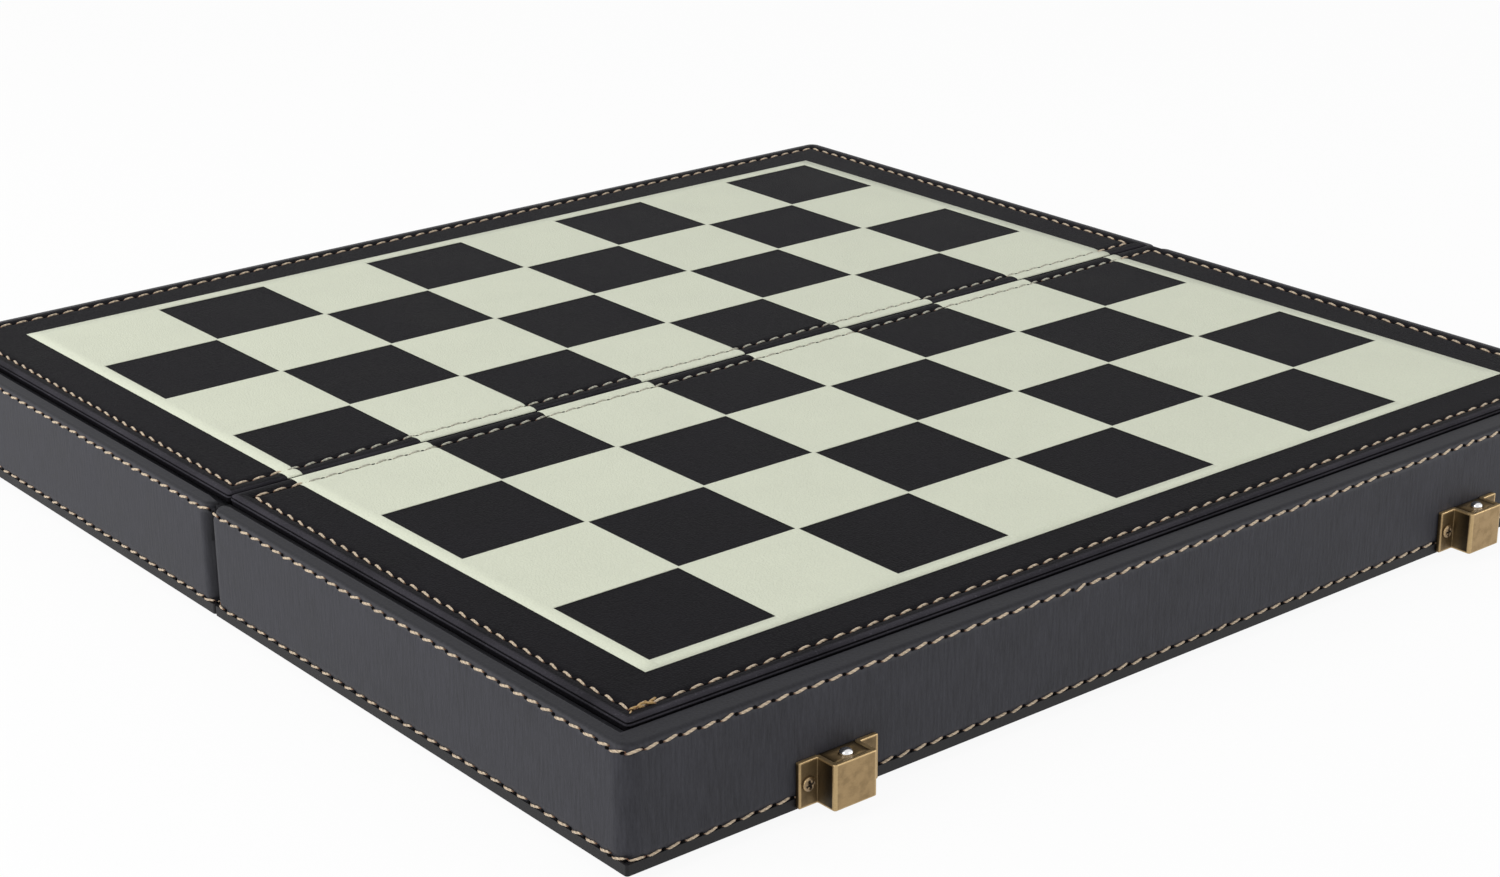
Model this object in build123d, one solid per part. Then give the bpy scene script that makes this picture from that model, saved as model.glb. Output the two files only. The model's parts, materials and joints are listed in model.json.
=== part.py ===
from build123d import *
import os
from math import atan2, degrees

# Folding chess board, millimetres. X runs along the seam, Y across it and Z up.
# The latch half lies at -Y and the catch half at +Y, both open flat.
# The origin is under the middle of the seam, at the height of the strike tongues' tips.
# Each half is drawn in its own frame: x along the seam, s outwards from the seam, w upwards from the rim.

# Playing field
SQUARE = 31.5
SQUARES_ACROSS = 8
ROWS_PER_HALF = 4
BORDER = 24.0
NECK = 0.8
OUTLINE_STRIP = 3.5
IVORY_THICK = 0.2

# Playing panel
HALF_HEIGHT = 27.0
SEAM_GAP = 0.3
LEDGE_WIDTH = 5.5
LEDGE_DROP = 1.5
GROOVE = 0.5
CORE_THICK = 3.0
PANEL_LEATHER = 1.0
PANEL_ROLL = 1.4
PANEL_CORNER = 0.6

# Walls and their cover
WALL_BOARD = 8.0
SIDE_LEATHER = 0.8
OUTER_CORNER = 4.0
SEAM_CORNER = 2.5
LEDGE_ROUND = 2.0
TRIM_HEIGHT = 2.3
TRIM_CORNER = 0.6

# Inside
LINING_THICK = 0.8
LINING_CLEAR = 0.2
FOAM_BELOW_RIM = 3.0
FOAM_CLEAR = 0.3
FOAM_BAR = 5.4
FOAM_JOINT = 0.05
OFFICER_WIDTH = 30.0
OFFICER_LENGTHS = (46.0, 52.0, 56.0, 64.0, 70.0, 56.0, 52.0, 46.0)
PAWN_WIDTH = 24.0
PAWN_LENGTH = 38.5

# Hinges
HINGE_LENGTH = 24.0
KNUCKLE_RADIUS = 1.6
KNUCKLE_CLEAR = 0.3
KNUCKLE_SIDE_CLEAR = 0.1
PIN_RADIUS = 0.6
PIN_CLEAR = 0.05
PIN_HEAD_RADIUS = 1.1
PIN_HEAD_THICK = 0.5
LEAF_THICK = 0.9
LEAF_WIDTH = 7.6
LEAF_SUNK = 0.05
LEAF_SIDE_CLEAR = 0.2
HINGE_SCREW_X = 8.0
HINGE_SCREW_S = 4.7
HINGE_SCREW_HEAD = 1.5
HINGE_SCREW_LENGTH = 8.0

# Screws
SHANK_RADIUS = 0.75
SHANK_CLEAR = 0.05
PAN_HEAD_RADIUS = 1.5
PAN_HEAD_HEIGHT = 0.9
PAN_HEAD_BEVEL = 0.5
LATCH_SCREW_DEPTH = 6.0
SCREW_HOLE_SPARE = 0.5

# Latch housing and strike, shared outline
LATCH_END = {"left": 49.7, "right": 59.0}
LATCH_LIFT = 0.3
FLANGE_WIDTH = 20.0
LATCH_HEIGHT = 9.7
SHEET = 1.0
BOX_WIDTH = 10.7
BOX_STANDS_OUT = 6.0
BOX_EDGE = 0.35
FLANGE_CORNER = 0.4

# Push button, spring and the shelf that guides the stem
BUTTON_V = 3.0
BUTTON_TRAVEL = 0.8
DOME_RADIUS = 1.4
DOME_HEIGHT = 1.2
STEM_RADIUS = 0.6
SLIDE_CLEAR = 0.08
COLLAR_RADIUS = 1.85
COLLAR_THICK = 0.6
SHELF_THICK = 0.5
SHELF_BACK = 0.4
SPRING_RADIUS = 1.1
SPRING_WIRE = 0.12
SPRING_TURNS = 3
FOOT_GAP = 0.1
FOOT_THICK = 0.6
FOOT_WIDTH = 2.8
FOOT_BACK = 0.9
FOOT_FRONT = 3.8

# Catch lever on its cross pin, in the plane of v (outwards) and h (up from the mouth)
PIVOT_V = 3.9
PIVOT_H = 2.4
PIVOT_PIN_RADIUS = 0.4
PIVOT_CLEAR = 0.05
BOSS_RADIUS = 0.75
PIN_SOCKET = 0.7
LEVER_WIDTH = 5.2
ARM_OUTER_V = 4.1
ARM_INNER_V = 3.45
TOOTH_V = 2.6
TOOTH_TOP = 1.25
LEVER_BOTTOM = 0.6
TOOTH_LEAD = 0.2
ARM_UNDER = 3.6
ARM_TOP = 4.2
NIB_V = 1.9
NIB_WIDTH = 0.6
NIB_GAP = 0.15

# Hooked tongue of the strike
TONGUE_V = 1.4
TONGUE_THICK = 1.0
TONGUE_WIDTH = 5.2
TONGUE_REACH = 2.5
BARB_OUT = 0.55
BARB_CATCH_GAP = 0.2
BARB_FACE = 0.35
TONGUE_TIP_BEVEL = 0.4
STRIKE_MOUTH = 4.0

# Worked out from the above
FIELD = SQUARES_ACROSS * SQUARE
LENGTH = FIELD + 2 * BORDER
HALF_WIDTH = ROWS_PER_HALF * SQUARE + BORDER
SEAM_FACE = SEAM_GAP / 2
HALF_X = LENGTH / 2
HINGE_X = LENGTH / 4
LATCH_X = {"left": LATCH_END["left"] - HALF_X, "right": HALF_X - LATCH_END["right"]}
LEDGE_W = HALF_HEIGHT - LEDGE_DROP
SEAT_W = HALF_HEIGHT - PANEL_LEATHER - CORE_THICK
PANEL_X = HALF_X - LEDGE_WIDTH
PANEL_S = HALF_WIDTH - LEDGE_WIDTH
CAVITY_X = HALF_X - SIDE_LEATHER - WALL_BOARD
CAVITY_S_SEAM = SEAM_FACE + SIDE_LEATHER + WALL_BOARD
CAVITY_S_OUT = HALF_WIDTH - SIDE_LEATHER - WALL_BOARD
LINING_W = SEAT_W - LINING_THICK
RIM_Z = LATCH_LIFT + TONGUE_REACH
BOX_DEEP = BOX_STANDS_OUT - SHEET
BOX_INNER_X = BOX_WIDTH / 2 - SHEET
FLANGE_SCREW_X = (BOX_WIDTH + FLANGE_WIDTH) / 4
SPRING_SPACE = 2 * BUTTON_TRAVEL
COLLAR_TOP = LATCH_HEIGHT - SHEET
COLLAR_BOTTOM = COLLAR_TOP - COLLAR_THICK
SHELF_TOP = COLLAR_BOTTOM - SPRING_SPACE
SHELF_BOTTOM = SHELF_TOP - SHELF_THICK
FOOT_TOP = SHELF_BOTTOM - FOOT_GAP
FOOT_BOTTOM = FOOT_TOP - FOOT_THICK
BARB_W = LATCH_LIFT + TOOTH_TOP + BARB_CATCH_GAP
OVER = 1.0


def slab(x0, x1, y0, y1, z0, z1):
    """Straight block between two corners, extruded up from its footprint."""
    foot = Pos((x0 + x1) / 2, (y0 + y1) / 2, z0) * Rectangle(x1 - x0, y1 - y0)
    return extrude(foot, amount=z1 - z0)


def rod_x(radius, x0, x1, y, z):
    """Round bar along X."""
    section = Plane(origin=(x0, y, z), x_dir=(0, 1, 0), z_dir=(1, 0, 0)) * Circle(radius)
    return extrude(section, amount=x1 - x0)


def rod_y(radius, x, y0, y1, z):
    """Round bar along Y."""
    section = Plane(origin=(x, y0, z), x_dir=(-1, 0, 0), z_dir=(0, 1, 0)) * Circle(radius)
    return extrude(section, amount=y1 - y0)


def rod_z(radius, x, y, z0, z1):
    """Round bar along Z."""
    return extrude(Pos(x, y, z0) * Circle(radius), amount=z1 - z0)


def profile_x(points, x0, x1):
    """Flat profile in the plane of y and z, extruded along X."""
    wire = Polyline(*[(x0, y, z) for y, z in points], close=True)
    return extrude(make_face(wire), amount=x1 - x0, dir=(1, 0, 0))


def cap_arc(radius, height, base):
    """Arc of a round cap, in half section: from its rim at the base up to its crown on the axis."""
    ball = (radius ** 2 + height ** 2) / (2 * height)
    centre = base + height - ball
    start = degrees(atan2(base - centre, radius))
    return CenterArc((0, centre), ball, start, 90 - start)


def half_outline(inset, outer_corner, seam_corner, w):
    """Footprint of one half, drawn in by an inset, with its own corner radii."""
    s0 = SEAM_FACE + inset
    s1 = HALF_WIDTH - inset
    face = Pos(0, (s0 + s1) / 2, w) * Rectangle(LENGTH - 2 * inset, s1 - s0)
    face = fillet(face.vertices().group_by(Axis.Y)[-1], outer_corner)
    return fillet(face.vertices().group_by(Axis.Y)[0], seam_corner)


def rounded_top(solid, radius):
    """Rounds the whole top edge of a solid."""
    return fillet(solid.faces().sort_by(Axis.Z)[-1].edges(), radius)


# Shared bodies of one half: the block inside the side leather, the hollow and the seat of the panel
def cover_block():
    """Outer form of the side leather: rounded corners and a rounded top edge."""
    block = extrude(half_outline(0, OUTER_CORNER, SEAM_CORNER, TRIM_HEIGHT), amount=LEDGE_W - TRIM_HEIGHT)
    return rounded_top(block, LEDGE_ROUND)


def board_block():
    """Outer form of the wall boards, one leather thickness inside the cover, with eased edges."""
    s0 = SEAM_FACE + SIDE_LEATHER
    s1 = HALF_WIDTH - SIDE_LEATHER
    face = Pos(0, (s0 + s1) / 2, TRIM_HEIGHT) * Rectangle(LENGTH - 2 * SIDE_LEATHER, s1 - s0)
    face = chamfer(face.vertices().group_by(Axis.Y)[-1], OUTER_CORNER - SIDE_LEATHER)
    face = chamfer(face.vertices().group_by(Axis.Y)[0], SEAM_CORNER - SIDE_LEATHER)
    block = extrude(face, amount=LEDGE_W - SIDE_LEATHER - TRIM_HEIGHT)
    return chamfer(block.faces().sort_by(Axis.Z)[-1].edges(), LEDGE_ROUND - SIDE_LEATHER)


def panel_seat():
    """Room for the playing panel and the groove round it."""
    return slab(-PANEL_X - GROOVE, PANEL_X + GROOVE, -OVER, PANEL_S + GROOVE, SEAT_W, HALF_HEIGHT + OVER)


def hollow():
    """The inside of one half, between its wall boards."""
    return slab(-CAVITY_X, CAVITY_X, CAVITY_S_SEAM, CAVITY_S_OUT, -OVER, HALF_HEIGHT + OVER)


# Fastener holes of one half
def flange_screw_axes():
    """Centres (x, w) of the four flange screws on an outer wall."""
    height = LATCH_LIFT + LATCH_HEIGHT / 2
    return [(x + side * FLANGE_SCREW_X, height) for x in LATCH_X.values() for side in (-1, 1)]


def hinge_screw_axes():
    """Centres (x, s) of the four screws in the leaves of one half."""
    offsets = (-HINGE_SCREW_X, HINGE_SCREW_X)
    return [(hinge + offset, HINGE_SCREW_S) for hinge in (-HINGE_X, HINGE_X) for offset in offsets]


def flange_screw_holes():
    """Pilot holes for the flange screws."""
    s0 = HALF_WIDTH - LATCH_SCREW_DEPTH - SCREW_HOLE_SPARE
    return [rod_y(SHANK_RADIUS + SHANK_CLEAR, x, s0, HALF_WIDTH + OVER, w) for x, w in flange_screw_axes()]


def hinge_screw_holes():
    """Pilot holes for the hinge screws."""
    top = LEAF_SUNK + HINGE_SCREW_LENGTH + SCREW_HOLE_SPARE
    return [rod_z(SHANK_RADIUS + SHANK_CLEAR, x, s, -OVER, top) for x, s in hinge_screw_axes()]


# Pieces of one half
def side_leather():
    """One cover round the four walls, turned in over the ledge."""
    return cover_block() - board_block() - panel_seat() - flange_screw_holes()


def wall_boards():
    """The four wall boards: outer and hinge walls run full length, the side walls stand between them."""
    stock = board_block() - panel_seat() - hollow() - flange_screw_holes() - hinge_screw_holes()
    top = HALF_HEIGHT
    return {
        "outer_wall": stock & slab(-HALF_X, HALF_X, CAVITY_S_OUT, HALF_WIDTH, 0, top),
        "hinge_wall": stock & slab(-HALF_X, HALF_X, 0, CAVITY_S_SEAM, 0, top),
        "left_wall": stock & slab(-HALF_X, -CAVITY_X, CAVITY_S_SEAM, CAVITY_S_OUT, 0, top),
        "right_wall": stock & slab(CAVITY_X, HALF_X, CAVITY_S_SEAM, CAVITY_S_OUT, 0, top),
    }


def rim_trim():
    """Edge strip round the rim, let in for the hinge leaves and knuckles."""
    ring = extrude(half_outline(0, TRIM_CORNER, TRIM_CORNER, 0), amount=TRIM_HEIGHT) - hollow()
    reach = HINGE_LENGTH / 2
    notch = reach + PIN_HEAD_THICK + KNUCKLE_CLEAR
    side = reach + LEAF_SIDE_CLEAR
    for x in (-HINGE_X, HINGE_X):
        ring -= rod_x(KNUCKLE_RADIUS + KNUCKLE_CLEAR, x - notch, x + notch, 0, 0)
        ring -= slab(x - side, x + side, -OVER, LEAF_WIDTH + LEAF_SIDE_CLEAR, -OVER, LEAF_SUNK + LEAF_THICK)
    return ring - hinge_screw_holes()


def panel_core():
    """Board under the playing leather, seated on the walls."""
    side = PANEL_X - PANEL_LEATHER
    s0 = SEAM_FACE + PANEL_LEATHER
    s1 = PANEL_S - PANEL_LEATHER
    return slab(-side, side, s0, s1, SEAT_W, SEAT_W + CORE_THICK)


def playing_leather():
    """Playing cover, turned down round the core on all four sides, with a rolled top edge."""
    face = Pos(0, (SEAM_FACE + PANEL_S) / 2, SEAT_W) * Rectangle(2 * PANEL_X, PANEL_S - SEAM_FACE)
    face = fillet(face.vertices(), PANEL_CORNER)
    return rounded_top(extrude(face, amount=HALF_HEIGHT - SEAT_W), PANEL_ROLL) - panel_core()


def ivory_squares(dark_parity):
    """Ivory layer: the field and its border line less the dark squares, joined by necks at their corners."""
    field = FIELD / 2
    s0 = SEAM_FACE + PANEL_ROLL
    s1 = ROWS_PER_HALF * SQUARE + OUTLINE_STRIP
    sheet = Pos(0, (s0 + s1) / 2, HALF_HEIGHT) * Rectangle(2 * (field + OUTLINE_STRIP), s1 - s0)
    side = SQUARE - NECK
    for column in range(SQUARES_ACROSS):
        for row in range(ROWS_PER_HALF):
            if (column + row) % 2 == dark_parity:
                x = (column + 0.5) * SQUARE - field
                s = (row + 0.5) * SQUARE
                sheet -= Pos(x, s, HALF_HEIGHT) * Rectangle(side, side)
    return extrude(sheet, amount=IVORY_THICK)


def floor_lining():
    """Lining sheet glued under the core."""
    side = CAVITY_X - LINING_CLEAR
    return slab(-side, side, CAVITY_S_SEAM + LINING_CLEAR, CAVITY_S_OUT - LINING_CLEAR, LINING_W, SEAT_W)


def foam_insert(s0, s1, pocket_s0, lengths, width):
    """Foam bars glued side by side round eight pockets: a rail, nine dividers and an end block per pocket."""
    side = CAVITY_X - FOAM_CLEAR
    pitch = 2 * side / SQUARES_ACROSS
    low, high = FOAM_BELOW_RIM, LINING_W
    centres = [(column + 0.5) * pitch - side for column in range(SQUARES_ACROSS)]
    starts = [-side] + [x + width / 2 for x in centres]
    ends = [x - width / 2 for x in centres] + [side]
    bars = [slab(-side, side, s0, pocket_s0, low, high)]
    for start, end in zip(starts, ends):
        bars.append(slab(start, end, pocket_s0 + FOAM_JOINT, s1, low, high))
    for x, length in zip(centres, lengths):
        reach = width / 2 - FOAM_JOINT
        bars.append(slab(x - reach, x + reach, pocket_s0 + length, s1, low, high))
    return Part() + bars


def foams():
    """The officer insert lies at the outer wall and the pawn insert fills the rest, to the hinge wall."""
    out = CAVITY_S_OUT - FOAM_CLEAR
    split = out - 2 * FOAM_BAR - max(OFFICER_LENGTHS)
    seam = CAVITY_S_SEAM + FOAM_CLEAR
    pawn_s0 = (seam + split - FOAM_CLEAR - PAWN_LENGTH) / 2
    pawns = (PAWN_LENGTH,) * SQUARES_ACROSS
    return {
        "officer_foam": foam_insert(split, out, split + FOAM_BAR, OFFICER_LENGTHS, OFFICER_WIDTH),
        "pawn_foam": foam_insert(seam, split - FOAM_CLEAR, pawn_s0, pawns, PAWN_WIDTH),
    }


def half_pieces(dark_parity):
    """Every board, cover and insert of one half, by its plain name."""
    return {
        "panel_core": panel_core(),
        "playing_leather": playing_leather(),
        "ivory_squares": ivory_squares(dark_parity),
        "side_leather": side_leather(),
        "rim_trim": rim_trim(),
        "floor_lining": floor_lining(),
        **wall_boards(),
        **foams(),
    }


# Hinges
def knuckle_spans(outer):
    """Lengths of the barrel that belong to a leaf: the two outer knuckles or the middle one."""
    reach = HINGE_LENGTH / 2
    middle = HINGE_LENGTH / 6
    gap = KNUCKLE_SIDE_CLEAR / 2
    if outer:
        return [(-reach, -middle - gap), (middle + gap, reach)]
    return [(-middle + gap, middle - gap)]


def hinge_leaf(x, outer):
    """Leaf with its knuckles, countersunk for two screws."""
    reach = HINGE_LENGTH / 2
    leaf = slab(x - reach, x + reach, 0, LEAF_WIDTH, LEAF_SUNK, LEAF_SUNK + LEAF_THICK)
    for start, end in knuckle_spans(not outer):
        room = KNUCKLE_SIDE_CLEAR
        leaf -= slab(x + start - room, x + end + room, -OVER, KNUCKLE_RADIUS + KNUCKLE_CLEAR, -OVER, OVER)
    for start, end in knuckle_spans(outer):
        leaf += rod_x(KNUCKLE_RADIUS, x + start, x + end, 0, 0)
    leaf -= rod_x(PIN_RADIUS + PIN_CLEAR, x - HINGE_LENGTH, x + HINGE_LENGTH, 0, 0)
    for side in (-1, 1):
        leaf -= countersunk_screw(x + side * HINGE_SCREW_X, HINGE_SCREW_S, SHANK_CLEAR)
    return leaf


def countersunk_screw(x, s, clear):
    """Screw driven upwards, its flat head flush with the leaf; clear widens it into its own hole."""
    rise = HINGE_SCREW_HEAD - SHANK_RADIUS
    start = LEAF_SUNK - clear
    head = HINGE_SCREW_HEAD + 2 * clear
    shank = SHANK_RADIUS + clear
    top = LEAF_SUNK + HINGE_SCREW_LENGTH
    half_section = Polyline((0, start), (head, start), (shank, LEAF_SUNK + rise), (shank, top), (0, top),
                            close=True)
    return Pos(x, s, 0) * revolve(Plane.XZ * make_face(half_section), Axis.Z)


def hinge_pin(x):
    """Pin with a peened head at each end."""
    reach = HINGE_LENGTH / 2
    pin = rod_x(PIN_RADIUS, x - reach, x + reach, 0, 0)
    for side in (-1, 1):
        start = x + side * reach
        end = start + side * PIN_HEAD_THICK
        pin += rod_x(PIN_HEAD_RADIUS, min(start, end), max(start, end), 0, 0)
    return pin


def hinge_screws():
    """The four screws of one half's leaves."""
    return Part() + [countersunk_screw(x, s, 0) for x, s in hinge_screw_axes()]


# Latches and strikes, in the frame of a half: v counts outwards from the wall, h upwards from the mouth
def latch_slab(x, x0, x1, v0, v1, h0, h1):
    """Block in the latch's own coordinates."""
    return slab(x + x0, x + x1, HALF_WIDTH + v0, HALF_WIDTH + v1, LATCH_LIFT + h0, LATCH_LIFT + h1)


def latch_rod(x, radius, v, h0, h1):
    """Upright bar in the latch's own coordinates."""
    return rod_z(radius, x, HALF_WIDTH + v, LATCH_LIFT + h0, LATCH_LIFT + h1)


def hat_bracket(x):
    """Raised box between two side flanges, drilled for its screws."""
    half_flange = FLANGE_WIDTH / 2
    half_box = BOX_WIDTH / 2
    flange = latch_slab(x, -half_flange, half_flange, 0, SHEET, 0, LATCH_HEIGHT)
    flange = fillet(flange.edges().filter_by(Axis.Y), FLANGE_CORNER)
    box = latch_slab(x, -half_box, half_box, 0, BOX_STANDS_OUT, 0, LATCH_HEIGHT)
    front = box.faces().sort_by(Axis.Y)[-1]
    box = chamfer(front.edges(), BOX_EDGE)
    height = LATCH_LIFT + LATCH_HEIGHT / 2
    radius = SHANK_RADIUS + SHANK_CLEAR
    bracket = flange + box
    for hole_x in (x - FLANGE_SCREW_X, x + FLANGE_SCREW_X):
        bracket -= rod_y(radius, hole_x, HALF_WIDTH - OVER, HALF_WIDTH + SHEET + OVER, height)
    return bracket


def latch_housing(x):
    """Housing open at the mouth and at the wall, with a guide shelf and sockets for the pivot pin."""
    inner = BOX_INNER_X
    housing = hat_bracket(x) - latch_slab(x, -inner, inner, -OVER, BOX_DEEP, -OVER, COLLAR_TOP)
    housing += latch_slab(x, -inner, inner, SHELF_BACK, BOX_DEEP, SHELF_BOTTOM, SHELF_TOP)
    reach = OVER / 2
    housing -= latch_rod(x, DOME_RADIUS + SLIDE_CLEAR, BUTTON_V, COLLAR_TOP - reach, LATCH_HEIGHT + reach)
    housing -= latch_rod(x, STEM_RADIUS + SLIDE_CLEAR, BUTTON_V, SHELF_BOTTOM - reach, SHELF_TOP + reach)
    return housing - pivot_bar(x, PIVOT_PIN_RADIUS + PIVOT_CLEAR, inner + PIN_SOCKET)


def pivot_bar(x, radius, reach):
    """Bar on the lever's pivot axis."""
    return rod_x(radius, x - reach, x + reach, HALF_WIDTH + PIVOT_V, LATCH_LIFT + PIVOT_H)


def latch_button(x):
    """Domed button, collar, stem and foot, revolved about the stem; the foot reaches back over the lever."""
    shoulder = LATCH_HEIGHT
    apex = shoulder + DOME_HEIGHT
    side = Polyline((0, FOOT_BOTTOM), (STEM_RADIUS, FOOT_BOTTOM), (STEM_RADIUS, COLLAR_BOTTOM),
                    (COLLAR_RADIUS, COLLAR_BOTTOM), (COLLAR_RADIUS, COLLAR_TOP), (DOME_RADIUS, COLLAR_TOP),
                    (DOME_RADIUS, shoulder))
    dome = cap_arc(DOME_RADIUS, DOME_HEIGHT, shoulder)
    core = Line((0, apex), (0, FOOT_BOTTOM))
    body = revolve(Plane.XZ * make_face(side + dome + core), Axis.Z)
    body = Pos(x, HALF_WIDTH + BUTTON_V, LATCH_LIFT) * body
    foot_half = FOOT_WIDTH / 2
    return body + latch_slab(x, -foot_half, foot_half, FOOT_BACK, FOOT_FRONT, FOOT_BOTTOM, FOOT_TOP)


def latch_spring(x):
    """Coil spring of square wire, between the shelf and the collar."""
    rise = SPRING_SPACE - 2 * SPRING_WIRE
    line = Helix(pitch=rise / SPRING_TURNS, height=rise, radius=SPRING_RADIUS)
    section = Plane(origin=line @ 0, z_dir=line % 0) * RegularPolygon(SPRING_WIRE, 4)
    coil = sweep(section, path=line)
    return Pos(x, HALF_WIDTH + BUTTON_V, LATCH_LIFT + SHELF_TOP + SPRING_WIRE) * coil


def catch_lever(x):
    """Bell-crank lever: a tooth under the barb, a boss on the pin and an arm with a nib under the foot."""
    nib_top = FOOT_BOTTOM - NIB_GAP
    nib_end = NIB_V + NIB_WIDTH
    side = [
        (ARM_OUTER_V, LEVER_BOTTOM), (ARM_OUTER_V, ARM_TOP), (nib_end, ARM_TOP), (nib_end, nib_top),
        (NIB_V, nib_top), (NIB_V, ARM_UNDER), (ARM_INNER_V, ARM_UNDER), (ARM_INNER_V, TOOTH_TOP),
        (TOOTH_V, TOOTH_TOP), (TOOTH_V + TOOTH_LEAD, LEVER_BOTTOM),
    ]
    half = LEVER_WIDTH / 2
    points = [(HALF_WIDTH + v, LATCH_LIFT + h) for v, h in side]
    lever = profile_x(points, x - half, x + half) + pivot_bar(x, BOSS_RADIUS, half)
    return lever - pivot_bar(x, PIVOT_PIN_RADIUS + PIVOT_CLEAR, LEVER_WIDTH)


def pivot_pin(x):
    """Cross pin held in the cheeks of the housing."""
    return pivot_bar(x, PIVOT_PIN_RADIUS, BOX_INNER_X + PIN_SOCKET)


def strike(x):
    """Bracket like the housing, with a shallow mouth and a barbed tongue that stands past the rim."""
    inner = BOX_INNER_X
    tip = -(LATCH_LIFT + TONGUE_REACH)
    outer_v = TONGUE_V + TONGUE_THICK
    barb_v = outer_v + BARB_OUT
    root = LATCH_LIFT + STRIKE_MOUTH + SHEET
    side = [
        (TONGUE_V, root), (TONGUE_V, tip + TONGUE_TIP_BEVEL), (TONGUE_V + TONGUE_TIP_BEVEL, tip),
        (outer_v, tip), (barb_v, -BARB_W - BARB_FACE), (barb_v, -BARB_W), (outer_v, -BARB_W), (outer_v, root),
    ]
    half = TONGUE_WIDTH / 2
    tongue = profile_x([(HALF_WIDTH + v, w) for v, w in side], x - half, x + half)
    return hat_bracket(x) - latch_slab(x, -inner, inner, -OVER, BOX_DEEP, -OVER, STRIKE_MOUTH) + tongue


def pan_screw(x, w):
    """Pan-head screw driven into the wall, its head on the flange and bevelled towards the crown."""
    tip = -LATCH_SCREW_DEPTH - SHEET
    rim = PAN_HEAD_HEIGHT - PAN_HEAD_BEVEL
    half_section = Polyline((0, tip), (SHANK_RADIUS, tip), (SHANK_RADIUS, 0), (PAN_HEAD_RADIUS, 0),
                            (PAN_HEAD_RADIUS, rim), (PAN_HEAD_RADIUS - PAN_HEAD_BEVEL, PAN_HEAD_HEIGHT),
                            (0, PAN_HEAD_HEIGHT), close=True)
    screw = revolve(Plane.XZ * make_face(half_section), Axis.Z)
    return Pos(x, HALF_WIDTH + SHEET, w) * Rot(-90, 0, 0) * screw


def flange_screws():
    """The four screws that hold the latches or the strikes of one half."""
    return Part() + [pan_screw(x, w) for x, w in flange_screw_axes()]


# Assembly
def latch_side(shape):
    """Places a piece of a half's frame in the latch half, at -Y."""
    return Pos(0, 0, RIM_Z) * mirror(shape, about=Plane.XZ)


def catch_side(shape):
    """Places a piece of a half's frame in the catch half, at +Y."""
    return Pos(0, 0, RIM_Z) * shape


def assembly():
    """Every node by name, in its place at rest."""
    nodes = {}
    near_parity = (ROWS_PER_HALF - 1) % 2
    for name, shape in half_pieces(near_parity).items():
        nodes["latch_half_" + name] = latch_side(shape)
    for name, shape in half_pieces(1 - near_parity).items():
        nodes["catch_half_" + name] = catch_side(shape)
    for side, x in (("left", -HINGE_X), ("right", HINGE_X)):
        nodes[side + "_hinge_latch_leaf"] = latch_side(hinge_leaf(x, True))
        nodes[side + "_hinge_catch_leaf"] = catch_side(hinge_leaf(x, False))
        nodes[side + "_hinge_pin"] = catch_side(hinge_pin(x))
    nodes["hinge_screws_latch_half"] = latch_side(hinge_screws())
    nodes["hinge_screws_catch_half"] = catch_side(hinge_screws())
    for side, x in LATCH_X.items():
        nodes[side + "_latch_housing"] = latch_side(latch_housing(x))
        nodes[side + "_latch_button"] = latch_side(latch_button(x))
        nodes[side + "_latch_spring"] = latch_side(latch_spring(x))
        nodes[side + "_catch_lever"] = latch_side(catch_lever(x))
        nodes[side + "_lever_pivot_pin"] = latch_side(pivot_pin(x))
        nodes[side + "_strike"] = catch_side(strike(x))
    nodes["latch_screws"] = latch_side(flange_screws())
    nodes["strike_screws"] = catch_side(flange_screws())
    return nodes


os.makedirs("parts", exist_ok=True)
for node, shape in assembly().items():
    shape.label = node
    export_step(shape, "parts/" + node + ".step")
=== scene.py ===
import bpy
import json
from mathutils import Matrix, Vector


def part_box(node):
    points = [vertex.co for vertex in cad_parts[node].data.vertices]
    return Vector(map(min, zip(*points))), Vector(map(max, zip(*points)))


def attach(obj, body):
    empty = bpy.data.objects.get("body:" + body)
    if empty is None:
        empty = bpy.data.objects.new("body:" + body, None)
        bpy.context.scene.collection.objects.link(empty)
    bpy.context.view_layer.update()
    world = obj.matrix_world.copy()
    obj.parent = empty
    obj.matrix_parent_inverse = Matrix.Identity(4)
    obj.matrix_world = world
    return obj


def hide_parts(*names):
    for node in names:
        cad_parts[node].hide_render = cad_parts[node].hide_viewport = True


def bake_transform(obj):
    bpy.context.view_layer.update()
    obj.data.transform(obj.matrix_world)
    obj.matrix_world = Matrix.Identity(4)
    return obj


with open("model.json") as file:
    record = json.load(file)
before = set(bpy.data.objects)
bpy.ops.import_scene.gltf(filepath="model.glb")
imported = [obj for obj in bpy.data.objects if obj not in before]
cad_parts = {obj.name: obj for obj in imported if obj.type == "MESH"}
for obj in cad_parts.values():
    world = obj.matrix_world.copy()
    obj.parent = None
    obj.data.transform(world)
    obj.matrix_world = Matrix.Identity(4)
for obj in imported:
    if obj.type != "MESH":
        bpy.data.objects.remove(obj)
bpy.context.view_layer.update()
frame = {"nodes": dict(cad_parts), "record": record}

import json
import math

import bmesh
import bpy
import numpy as np
from bpy.props import FloatProperty, FloatVectorProperty, PointerProperty
from mathutils import Matrix, Vector

bl_info = {
    "name": "Folding chess board",
    "version": (1, 0, 0),
    "blender": (4, 5, 0),
    "location": "View3D > Sidebar > Chess board",
    "description": "Builds the covers, stitching, inserts, latches and finishes of a folding chess board",
    "category": "Add Mesh",
}

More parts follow.
